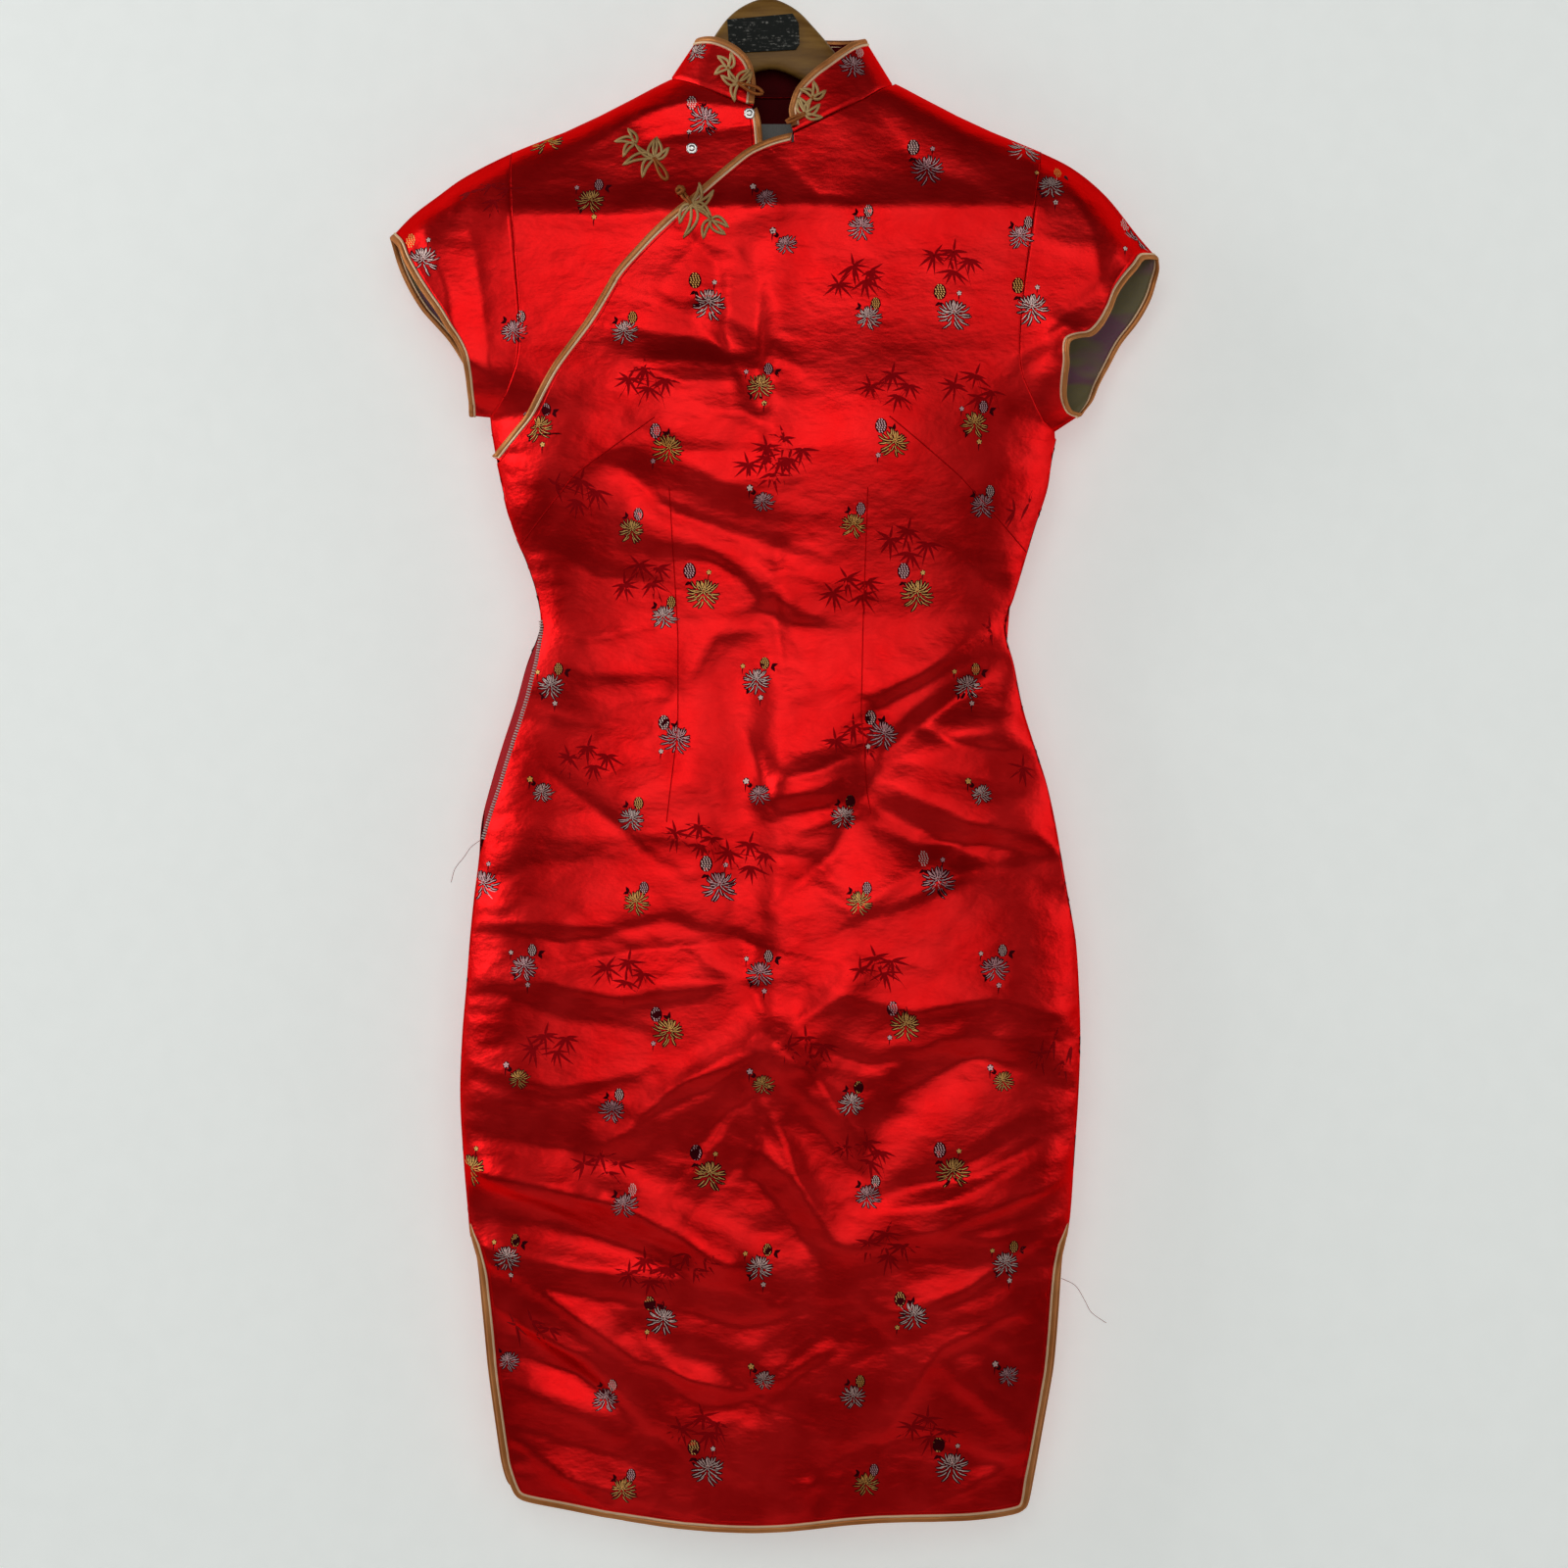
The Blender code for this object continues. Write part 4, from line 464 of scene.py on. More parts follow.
def smooth(at, knots, values):
    """A cubic through the rows of a table, each row's slope taken from its neighbours."""
    knots = np.asarray(knots, float)
    values = np.asarray(values, float)
    slopes = np.empty_like(values)
    slopes[1:-1] = (values[2:] - values[:-2]) / (knots[2:] - knots[:-2])
    slopes[0] = (values[1] - values[0]) / (knots[1] - knots[0])
    slopes[-1] = (values[-1] - values[-2]) / (knots[-1] - knots[-2])
    at = np.clip(at, knots[0], knots[-1])
    i = np.clip(np.searchsorted(knots, at, side="right") - 1, 0, len(knots) - 2)
    span = knots[i + 1] - knots[i]
    t = (at - knots[i]) / span
    risen = values[i] + (values[i + 1] - values[i]) * (3 - 2 * t) * t * t
    return risen + t * (1 - t) ** 2 * span * slopes[i] + t * t * (t - 1) * span * slopes[i + 1]


def column(rows, index):
    return [row[index] for row in rows]


def ease(at, start, end):
    t = np.clip((at - start) / (end - start), 0.0, 1.0)
    return t * t * (3 - 2 * t)


def lengths_along(points):
    return np.concatenate([[0.0], np.cumsum(np.linalg.norm(np.diff(points, axis=0), axis=1))])


def each_column(read, points):
    return np.stack([read(points[:, k]) for k in range(points.shape[1])], axis=1)


def unit(vectors, least=0.0):
    return vectors / (np.linalg.norm(vectors, axis=1)[:, None] + least)


def resample(points, count, pace=1.0):
    """Read count points along a smooth curve through the given ones."""
    points = np.asarray(points, float)
    along = lengths_along(points)
    at = along[-1] * np.linspace(0, 1, count) ** pace
    return each_column(lambda values: smooth(at, along, values), points)


def relax(points, step, passes):
    """Even points along a line, with its corners eased."""
    points = np.asarray(points, float)
    along = lengths_along(points)
    at = np.linspace(0, along[-1], max(3, round(along[-1] / step)))
    line = each_column(lambda values: np.interp(at, along, values), points)
    for _ in range(passes):
        line[1:-1] = line[1:-1] / 2 + (line[:-2] + line[2:]) / 4
    return line


def line_distance(points, x, drop):
    """Distance from places to a line, the side they lie on (+1 below it), and the share along it."""
    best = np.full(np.shape(x), 1e9)
    side = np.ones(np.shape(x))
    share = np.zeros(np.shape(x))
    for k, ((ax, ad), (bx, bd)) in enumerate(zip(points, points[1:])):
        lx, ld = bx - ax, bd - ad
        t = np.clip(((x - ax) * lx + (drop - ad) * ld) / (lx * lx + ld * ld), 0, 1)
        ex, ed = x - ax - t * lx, drop - ad - t * ld
        gap = np.hypot(ex, ed)
        near = gap < best
        best = np.where(near, gap, best)
        side = np.where(near, np.sign(lx * ed - ld * ex), side)
        share = np.where(near, (k + t) / (len(points) - 1), share)
    return best, side, share


def inset(line, distance):
    """Move a line sideways into its piece, which lies to the left of the way it runs."""
    line = np.asarray(line, float)
    run = unit(np.gradient(line, axis=0))
    distance = np.broadcast_to(distance, len(line))
    return line + distance[:, None] * np.stack([run[:, 1], -run[:, 0]], axis=1)


def edge_at(drop, side):
    return smooth(drop, column(SIDES, 0), column(SIDES, 1 if side == "left" else 2))


def top_at(x):
    return smooth(x, column(TOP, 0), column(TOP, 1))


# Depth of the cloth


def fold_depth(folds, x, drop):
    total = np.zeros(np.shape(x))
    for x0, d0, x1, d1, height, half_width in folds:
        lx, ld = x1 - x0, d1 - d0
        length = math.hypot(lx, ld)
        along = ((x - x0) * lx + (drop - d0) * ld) / length
        across = ((x - x0) * ld - (drop - d0) * lx) / length
        over = np.maximum(0.0, np.maximum(-along, along - length))
        total += height * np.exp(-(across * across + over * over) / (half_width * half_width))
    return total


def crease_depth(rows, x, drop):
    """The finer folds: sharp along the top, with a steeper side and a softer one."""
    x = np.asarray(x, float)
    drop = np.asarray(drop, float)
    total = np.zeros(np.shape(x))
    for height, above, below, *line in rows:
        reach = CREASE_REACH * SOFT_FLANK * max(above, below)
        xs, drops = line[::2], line[1::2]
        near = (x > min(xs) - reach) & (x < max(xs) + reach)
        near &= (drop > min(drops) - reach) & (drop < max(drops) + reach)
        if not near.any():
            continue
        gap, side, share = line_distance(list(zip(xs, drops)), x[near], drop[near])
        soft_side = 1 if height < 0 else -1
        width = np.where(side > 0, below, above) * np.where(side == soft_side, SOFT_FLANK, STEEP_FLANK)
        fall = (np.sqrt(gap * gap + CREASE_TIP * CREASE_TIP) - CREASE_TIP) / width
        taper = 0.45 + 0.55 * np.sin(math.pi * share)
        total[near] += height * taper * np.exp(-fall)
    return total


def small_folds():
    """Short folds beside the centre line and the side seams, and loose ones over the skirt."""
    random = np.random.default_rng(21)
    rows = []
    for drop in np.arange(250.0, 1165.0, 17.0):
        for way in (-1, 1):
            start = 5.0 + random.uniform(-3, 3)
            end = start + way * random.uniform(12, 44)
            height = random.choice((-1, 1)) * random.uniform(0.4, 1.2)
            end_drop = drop + random.uniform(-14, 14)
            rows.append((height, random.uniform(3, 6), random.uniform(3, 7), start, drop, end, end_drop))
    for drop in np.arange(400.0, 990.0, 15.0):
        for side, way in (("left", 1), ("right", -1)):
            seam = float(edge_at(drop, side))
            end = seam + way * random.uniform(18, 62)
            height = random.choice((-1, 1)) * random.uniform(0.3, 0.9)
            end_drop = drop + random.uniform(-8, 16)
            start = seam + 3 * way
            rows.append((height, random.uniform(3, 6), random.uniform(3, 7), start, drop, end, end_drop))
    for _ in range(110):
        x, drop = random.uniform(-200, 200), random.uniform(560, 1165)
        turn, length = random.uniform(-0.8, 0.8), random.uniform(14, 42)
        bow = random.uniform(-6, 6)
        across, down = length * math.cos(turn), length * math.sin(turn)
        height = random.choice((-1, 1)) * random.uniform(0.5, 1.3)
        line = (x - across, drop - down, x, drop + bow, x + across, drop + down)
        rows.append((height, random.uniform(4, 8), random.uniform(4, 8), *line))
    return rows


def ripple(x, drop, seed, size):
    """The slight unevenness of cloth that has been worn and folded away."""
    random = np.random.default_rng(seed)
    total = np.zeros(np.shape(x))
    for _ in range(14):
        turn = random.uniform(0, math.pi)
        length = random.uniform(0.6, 1.6) * size
        phase = random.uniform(0, 2 * math.pi)
        total += np.sin((x * math.cos(turn) + drop * math.sin(turn)) * 2 * math.pi / length + phase)
    return total / 14


def crinkle(x, drop, seed, size):
    """Crisp ridges in patches, as satin keeps them from lying folded."""
    random = np.random.default_rng(seed)
    total = np.zeros(np.shape(x))
    for k in range(6):
        turn = random.uniform(-0.9, 0.9)
        length = random.uniform(0.7, 1.5) * size
        wave = (x * math.sin(turn) + drop * math.cos(turn)) * math.pi / length + random.uniform(0, math.pi)
        wave = wave + 4.0 * ripple(x, drop, seed + 10 + k, 2.2 * size)
        patch = np.clip(0.35 + 3.0 * ripple(x, drop, seed + 40 + k, 3.2 * size), 0.0, 1.0)
        total += (0.64 - np.abs(np.sin(wave))) * patch
    return total / 3


def wrinkled(x, drop):
    """How far the front is wrinkled at a place, from 0 where it lies smooth to 1."""
    share = np.ones(np.shape(x))
    for zone_x, zone_drop, reach_x, reach_drop, calm in SMOOTH_ZONES:
        away = ((x - zone_x) / reach_x) ** 2 + ((drop - zone_drop) / reach_drop) ** 2
        share = share * (1 - calm * np.exp(-away * away))
    return share


def from_seams(x, drop):
    left = np.maximum(x - edge_at(drop, "left"), 0.0)
    right = np.maximum(edge_at(drop, "right") - x, 0.0)
    top = np.maximum(drop - top_at(x), 0.0)
    return left, right, top


def rise(layer, x, drop):
    """Depth of a layer's inner face above the middle plane, large folds and fine ones."""
    face = "back" if layer == "back" else "front"
    left, right, top = from_seams(x, drop)
    table = BULGES[face]
    depth = smooth(drop, column(table, 0), column(table, 1))
    if face == "front":
        for bx, bd in BUSTS:
            depth = depth + BUST_HEIGHT * np.exp(-((x - bx) ** 2 + (drop - bd) ** 2) / BUST_REACH ** 2)
        depth = depth + YOKE_LIFT * np.clip((drop - 128.0) / 98.0, 0, 1) * (1 - ease(drop, 226.0, 330.0))
    depth = depth * (1 - np.exp(-left / SIDE_REACH)) * (1 - np.exp(-right / SIDE_REACH))
    depth = depth * (1 - np.exp(-top * TOP_SLANT / TOP_REACH))
    calm = np.ones(np.shape(x))
    near = np.ones(np.shape(x))
    for distance in (left, right, top):
        calm = calm * (1 - np.exp(-distance / FOLD_CALM))
        near = near * (1 - np.exp(-distance / 7.0))
    depth = depth + calm * fold_depth(FRONT_FOLDS if face == "front" else BACK_FOLDS, x, drop)
    seams = np.exp(-left / 20.0) + np.exp(-right / 20.0)
    pucker = np.sin(drop / 3.1 + 2.2 * np.sin(drop / 13.0) + x / 40.0) * np.sin(drop / 21.0 + 1.0)
    if face == "front":
        fine = CREASE_BOOST * crease_depth(CREASES, x, drop)
        loose = 1.0 * crinkle(x, drop, 3, 46.0) + 0.3 * crinkle(x, drop, 5, 17.0)
        loose = loose + 0.7 * crease_depth(SMALL_FOLDS, x, drop)
        fine = fine + wrinkled(x, drop) * loose
    else:
        fine = 1.8 * ripple(x, drop, 8, 70.0)
        fine = fine + 1.6 * crinkle(x, drop, 9, 52.0) + 0.5 * crinkle(x, drop, 12, 24.0)
    depth = depth + near * (fine + 0.7 * seams * pucker)
    return np.maximum(depth, 0.0) + SLIT_SPREAD[face] * ease(drop, *SLIT_SPREAD_DROPS)


def lap(layer, x, drop):
    """How much further out the front lies where the underlap is beneath it."""
    if layer != "front":
        return 0.0
    gap = line_distance(OVERLAP_EDGE, x, drop)[0]
    under = (x < 110.0) & (drop < 500.0)
    return np.where(under, LAP_STEP * (1 - ease(gap, LAP_FULL, LAP_END)), 0.0)


def stand(layer, x, drop):
    """How far the outside of a layer stands from the middle plane."""
    left, right, top = from_seams(x, drop)
    seam = np.minimum(np.minimum(left, right), top)
    puffed = CLOTH_STAND * (1 - np.exp(-seam / SEAM_REACH))
    return SEAM_STAND + rise(layer, x, drop) + lap(layer, x, drop) + puffed


def facing(layer):
    return 1.0 if layer == "back" else -1.0


SMALL_FOLDS = small_folds()


# Making pieces


def finish_mesh(name, bm, materials, smooth_faces=True):
    mesh = bpy.data.meshes.new(name)
    bm.to_mesh(mesh)
    bm.free()
    for mat in materials:
        mesh.materials.append(mat)
    mesh.polygons.foreach_set("use_smooth", [smooth_faces] * len(mesh.polygons))
    obj = bpy.data.objects.new(name, mesh)
    bpy.context.scene.collection.objects.link(obj)
    return obj


def add_piece(name, bm, materials, nodes=(), smooth_faces=True):
    obj = finish_mesh(name, bm, materials, smooth_faces)
    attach(obj, "root")
    if nodes:
        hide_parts(*nodes)
    return obj


def give_thickness(obj, thickness, inside=0):
    wall = obj.modifiers.new("thickness", "SOLIDIFY")
    wall.thickness = thickness * MM
    wall.offset = -1.0
    wall.material_offset = inside
    return obj


def grid(points, closed=False):
    """A grid of faces through an array of points in millimetres, rows by columns."""
    points = np.asarray(points)
    if closed:
        points = np.concatenate([points, points[:, :1]], axis=1)
    rows, columns = points.shape[:2]
    bm = bmesh.new()
    made = bmesh.ops.create_grid(bm, x_segments=columns - 1, y_segments=rows - 1, size=0.5)["verts"]
    for v in made:
        r = round((v.co.y + 0.5) * (rows - 1))
        c = round((v.co.x + 0.5) * (columns - 1))
        x, y, drop = points[r, c]
        v.co = (x * MM, y * MM, -drop * MM)
    if closed:
        bmesh.ops.remove_doubles(bm, verts=bm.verts, dist=1e-7)
    return bm


def face_outward(bm):
    bmesh.ops.recalc_face_normals(bm, faces=bm.faces)
    return bm


def cap_ends(bm):
    bmesh.ops.holes_fill(bm, edges=[e for e in bm.edges if e.is_boundary], sides=0)
    return bm


def tube(path, radius, sides=8):
    """A round cord along a path of x, y, drop."""
    path = np.asarray(path, float)
    run = unit(np.gradient(path, axis=0), 1e-9)
    across = unit(np.cross(run, np.array([0.0, 1.0, 0.0])), 1e-9)
    upward = np.cross(across, run)
    turns = np.linspace(0, 2 * math.pi, sides, endpoint=False)[None, :, None]
    ring = across[:, None, :] * np.cos(turns) + upward[:, None, :] * np.sin(turns)
    return grid(path[:, None, :] + ring * radius, closed=True)


def join_into(bm, other):
    """Add one bmesh to another."""
    mesh = bpy.data.meshes.new("part")
    other.to_mesh(mesh)
    other.free()
    bm.from_mesh(mesh)
    bpy.data.meshes.remove(mesh)
    return bm


# Cloth panels


def outer_skin(nodes, layer, cuts):
    """The outside of a CAD wall of cloth, cut finely and laid on the cloth's own depth."""
    bm = bmesh.new()
    for node in nodes:
        bm.from_mesh(frame["nodes"][node].data)
    bmesh.ops.remove_doubles(bm, verts=bm.verts, dist=1e-6)
    bm.normal_update()
    turned_away = [f for f in bm.faces if f.normal.y * facing(layer) < 0.3]
    bmesh.ops.delete(bm, geom=turned_away, context="FACES")
    bmesh.ops.remove_doubles(bm, verts=bm.verts, dist=0.7 * MM)
    along_cuts = [
        e for e in bm.edges
        if e.is_boundary and all(min(abs(v.co.z / MM + cut) for cut in BAND_CUTS) < 1.5 for v in e.verts)
    ]
    bmesh.ops.holes_fill(bm, edges=along_cuts, sides=0)
    bmesh.ops.recalc_face_normals(bm, faces=bm.faces)
    if sum(f.normal.y for f in bm.faces) * facing(layer) < 0:
        bmesh.ops.reverse_faces(bm, faces=bm.faces[:])
    bmesh.ops.subdivide_edges(bm, edges=bm.edges[:], cuts=cuts, use_grid_fill=True)
    verts = bm.verts[:]
    x = np.array([v.co.x for v in verts]) / MM
    drop = -np.array([v.co.z for v in verts]) / MM
    for side in ("left", "right"):
        seam = edge_at(drop, side)
        body = drop > 386.0
        x = np.where(body & (np.abs(x - seam) < 1.0), seam, x)
    y = facing(layer) * stand(layer, x, drop)
    for v, vx, vy in zip(verts, x, y):
        v.co.x = vx * MM
        v.co.y = vy * MM
    return bm


def roll_profile(sides, near, width, thick):
    """How far in from the edge, and how high, each line of a roll of cloth lies."""
    angles = np.linspace(0, 2 * math.pi, sides, endpoint=False)
    height = 0.5 * thick * np.sign(np.sin(angles)) * np.abs(np.sin(angles)) ** 0.6
    return near + width * (0.5 - 0.5 * np.cos(angles)), height


def trim_strip(line, layer, taper, near, width, thick):
    """A roll of cloth along an edge, both sides of the panel; it runs out to nothing over taper."""
    along = lengths_along(line)
    share = np.clip(np.minimum(along, along[-1] - along) / max(taper, 0.001) + 0.12, 0.0, 1.0)
    columns = []
    for a, h in zip(*roll_profile(12, near, width, thick)):
        moved = inset(line, a * share)
        y = facing(layer) * (stand(layer, moved[:, 0], moved[:, 1]) - CLOTH / 2 + h * share)
        columns.append(np.stack([moved[:, 0], y, moved[:, 1]], axis=1))
    return face_outward(cap_ends(grid(np.stack(columns, axis=1), closed=True)))


def add_rolls(kind, where, make_strip):
    """The binding and the piping along an edge."""
    for (part, mat), roll in zip((("binding", COPPER_SATIN), ("piping", CREAM_PIPING)), TRIM_ROLLS[kind]):
        add_piece("trim_%s_%s" % (part, where), make_strip(*roll), [mat], [part + "_" + where])


def add_trim(name, edge, layer, taper=0.0):
    line = relax(edge, 2.5, 10)
    add_rolls("edge", name, lambda *roll: trim_strip(line, layer, taper, *roll))
    add_piece("turned_edge_" + name, trim_strip(line, layer, taper, *TURNED_EDGE), [SATIN])


# Sleeves

SLEEVE_COLUMNS = 65
SLEEVE_ROWS = 30


def sleeve_rings(side, starts, lift=0.0):
    """Rings round a sleeve; each start gives, from the lengths, how far its ring lies from the armhole to the
    finished edge.
    """
    armhole = resample(ARMHOLES[side], SLEEVE_COLUMNS)
    t = np.linspace(0, 1, SLEEVE_COLUMNS)
    rings = []
    for start in starts:
        ring = []
        for face in ("front", "back"):
            cuff = resample(CUFFS[side, face], SLEEVE_COLUMNS, CUFF_PACE[side, face])
            length = np.linalg.norm(cuff - armhole, axis=1)
            u = start(length)
            place = armhole + (cuff - armhole) * u[:, None]
            x, drop = place[:, 0], place[:, 1]
            first = armhole[0] + (cuff[0] - armhole[0]) * u[:, None]
            drop = drop + (1 - t) ** 2 * (top_at(first[:, 0]) - first[:, 1])
            layer = "back" if face == "back" else "underlap"
            near_fold = np.minimum(1.0, 8 * np.minimum(t, 1 - t))
            roundness = np.sqrt(near_fold * (2 - near_fold))
            open_part = CUFF_GAPE[side, face] * np.clip(u, 0, 1) ** 2 * np.sin(math.pi * t) ** 0.7
            y = (0.15 + rise(layer, x, drop) + CLOTH_STAND + lift) * roundness + open_part
            points = np.stack([x, facing(layer) * y, drop], axis=1)
            ring.append(points if face == "front" else points[-2:0:-1])
        rings.append(np.concatenate(ring))
    return np.stack(rings)


def add_sleeve(side):
    lengths = np.linspace(-0.02, 1.0, SLEEVE_ROWS)
    starts = [lambda length, k=k: k * (1 - CUFF_TURN / length) for k in lengths]
    rings = sleeve_rings(side, starts)
    rings[0, :, 1] *= 0.9
    bm = turn_outward(grid(rings, closed=True))
    obj = add_piece("cloth_sleeve_" + side, bm, [SATIN, LINING], ["sleeve_" + side])
    give_thickness(obj, CLOTH, 1)
    add_rolls("cuff", "cuff_" + side, lambda *roll: cuff_strip(side, *roll))
    return obj


def turn_outward(bm):
    """Turn the faces of an open tube away from its middle."""
    bm.normal_update()
    if sum(f.normal.y * f.calc_center_median().y for f in bm.faces) < 0:
        bmesh.ops.reverse_faces(bm, faces=bm.faces[:])
    return bm


def cuff_strip(side, near, width, thick):
    across, height = roll_profile(10, near, width, thick)
    rings = sleeve_rings(side, [lambda length, a=a: 1 - a / length for a in across], -CLOTH / 2)
    centre = rings.mean(axis=0)
    run = unit(np.roll(centre, -1, axis=0) - np.roll(centre, 1, axis=0))
    over = unit(rings[len(across) // 2] - rings[0])
    points = rings + unit(np.cross(run, over))[None] * height[:, None, None]
    bm = grid(np.concatenate([points, points[:1]], axis=0), closed=True)
    bmesh.ops.remove_doubles(bm, verts=bm.verts, dist=1e-6)
    return face_outward(bm)


# Collar


def collar_lines(count):
    """Base and top lines of the collar, x, y, drop."""
    rows = [COLLAR_ENDS["left"]] + COLLAR + [COLLAR_ENDS["right"]]
    folds = (COLLAR_FOLDS[0] + 1, COLLAR_FOLDS[1] + 1)
    base, top = [], []
    for i, (base_x, base_drop, top_x, top_drop) in enumerate(rows):
        layer = "underlap" if i < folds[0] else "back" if i < folds[1] else "front"
        x, drop = np.array([base_x], float), np.array([base_drop], float)
        depth = 0.0 if i in folds else float(stand(layer, x, drop)[0]) - 0.4
        base.append((base_x, facing(layer) * depth, base_drop))
        top.append((top_x, facing(layer) * depth * COLLAR_LEAN, top_drop))
    at = np.linspace(0, len(rows) - 1, count)
    return [each_column(lambda values: smooth(at, np.arange(len(rows)), values), np.array(line))
            for line in (base, top)]


def add_collar():
    base, top = collar_lines(150)
    tucked = base + np.array([0.0, 0.0, 3.0])
    tucked[:, 1] *= 0.93
    bm = turn_outward(grid(np.stack([tucked] + [base + (top - base) * v for v in np.linspace(0, 1, 12)])))
    obj = add_piece("cloth_collar", bm, [SATIN, SATIN_INSIDE], ["collar"])
    give_thickness(obj, COLLAR_CLOTH, 1)
    edge = relax(np.concatenate([base[:1], top, base[-1:]]), 1.6, 4)
    foot = np.concatenate([base[:1] * 0.5 + base[6:7] * 0.5, base, base[-1:]])
    share, knots = np.linspace(0, 1, len(edge)), np.linspace(0, 1, len(foot))
    toward = each_column(lambda values: np.interp(share, knots, values), foot) - edge
    run = unit(np.gradient(edge, axis=0))
    normal = unit(np.cross(run, toward))
    inward = unit(np.cross(normal, run))
    inward *= np.sign(np.sum(inward * toward, axis=1))[:, None]

    def make_strip(*roll):
        columns = [edge + inward * a + normal * h for a, h in zip(*roll_profile(12, *roll))]
        return face_outward(cap_ends(grid(np.stack(columns, axis=1), closed=True)))

    add_rolls("collar", "collar", make_strip)
    return obj


# Woven flowers, frogs and small pieces


class Ground:
    """The finished cloth, to lay small things on."""

    def __init__(self, pieces):
        verts, faces = [], []
        for piece in pieces:
            offset = len(verts)
            verts += [v.co.copy() for v in piece.data.vertices]
            faces += [[offset + i for i in p.vertices] for p in piece.data.polygons]
        self.tree = BVHTree.FromPolygons(verts, faces)

    def depth(self, x, drop, side=-1):
        """y of the outermost cloth at a place, in millimetres, or None beside it."""
        start = Vector((x * MM, side * 0.2, -drop * MM))
        hit = self.tree.ray_cast(start, Vector((0, -side, 0)))[0]
        return None if hit is None else hit.y / MM


def woven_shape(bm, ground, outline, lift, mat, side=-1):
    """A small flat shape of thread laid on the cloth; outline is x, drop."""
    placed = []
    for x, drop in outline:
        y = ground.depth(x, drop, side)
        if y is None or abs(y) < 1.0:
            return
        placed.append((x * MM, (y + side * lift) * MM, -drop * MM))
    if max(p[1] for p in placed) - min(p[1] for p in placed) > 0.004:
        return
    made = bmesh.ops.create_circle(bm, cap_ends=True, segments=len(placed), radius=1.0)["verts"]
    for v, place in zip(made, placed):
        v.co = place
    face = made[0].link_faces[0]
    face.material_index = mat
    face.normal_update()
    if face.normal.y * side < 0:
        face.normal_flip()


def beside(root, angle, along, across):
    """x and drop of a place so far along a direction from a root, and so far across it."""
    x = root[0] + along * math.cos(angle) - across * math.sin(angle)
    return x, root[1] - along * math.sin(angle) - across * math.cos(angle)


def petal_outline(centre, angle, start, length, width, bend, points=8, blunt=0.35):
    """Outline of one petal that grows away from a centre; bend curls it sideways."""
    outline = []
    for k in range(points):
        turn = 2 * math.pi * (k + 0.5) / points
        along = start + length * (0.5 - 0.5 * math.cos(turn))
        across = width / 2 * math.sin(turn) * (1 - blunt * math.cos(turn))
        across += bend * (along - start) ** 2 / max(length, 0.1)
        outline.append(beside(centre, angle, along, across))
    return outline


def flower(bm, ground, centre, size, colour, random, side, heading=-90.0):
    """A chrysanthemum: curled petals that fan from a point near its top."""
    heart = (centre[0], centre[1] - size * 0.25)
    for ring, count, start, reach, width in PETAL_RINGS:
        for k in range(count):
            turn = 2 * math.pi * (k + 0.5 * (ring % 2)) / count + random.uniform(-0.1, 0.1)
            down = math.cos(turn - math.radians(heading))
            long = size * reach * (1 + 0.28 * down) * random.uniform(0.8, 1.15)
            begin = size * start * (1 + 0.36 * down)
            bend = (0.55 if math.cos(turn) > 0 else -0.55) * random.uniform(0.3, 1.3)
            shape = petal_outline(heart, turn, begin - 0.3, long + 0.8, size * width * 3.0 + 0.4, bend, 7)
            woven_shape(bm, ground, shape, 0.1, DARK, side)
            shape = petal_outline(heart, turn, begin, long, size * width, bend, 7, -0.3)
            woven_shape(bm, ground, shape, 0.2 + 0.03 * ring, colour, side)


def berry(bm, ground, centre, size, colour, side):
    """A cone-like berry of overlapping scales."""
    foot = (centre[0], centre[1] - size * 0.62)
    shape = petal_outline(foot, math.radians(-90), 0, size * 1.24, size * 0.98, 0, 12, 0.05)
    woven_shape(bm, ground, shape, 0.12, DARK, side)
    for row, count in enumerate((2, 3, 4, 4, 4, 3, 2)):
        for k in range(count):
            x = centre[0] + (k - (count - 1) / 2) * size * 0.2 + (row % 2 - 0.5) * size * 0.05
            drop = centre[1] + (row - 3) * size * 0.165
            scale = petal_outline((x, drop), math.radians(125), -size * 0.09, size * 0.18, size * 0.1, 0, 6)
            woven_shape(bm, ground, scale, 0.2, colour, side)


def leaves(bm, ground, centre, size, angles, side):
    for degrees in angles:
        shape = slim_leaf(centre, math.radians(degrees), size, size * 0.55)
        woven_shape(bm, ground, shape, 0.13, DARK, side)


def bud(bm, ground, centre, size, colour, side):
    stem = slim_leaf((centre[0], centre[1] + size * 0.6), math.radians(-105), size * 3.2, size * 0.45, 0.2)
    woven_shape(bm, ground, stem, 0.12, DARK, side)
    for k in range(5):
        shape = petal_outline(centre, 2 * math.pi * k / 5 + 0.4, 0.1, size, size * 0.7, 0, 7, 0.0)
        woven_shape(bm, ground, shape, 0.2, colour, side)
    shape = petal_outline(centre, 0.9, -size * 1.2, size * 2.4, size * 2.2, 0, 9, 0.0)
    woven_shape(bm, ground, shape, 0.12, DARK, side)


def draw_motif(cloth, ground, kind, x, drop, colour, random, side=-1):
    """One of the repeat's six groups of flowers."""
    bm = bmesh.new()
    other = SECOND_THREAD[colour]
    for part, dx, dd, size, *turns in MOTIF_PARTS[kind]:
        centre = (x + dx, drop + dd)
        if part == "flower":
            flower(bm, ground, centre, size, colour, random, side, *turns)
        elif part == "berry":
            berry(bm, ground, centre, size, other, side)
        elif part == "leaves":
            leaves(bm, ground, centre, size, turns, side)
        else:
            bud(bm, ground, centre, size, colour if part == "bud" else other, side)
    join_into(cloth, bm)


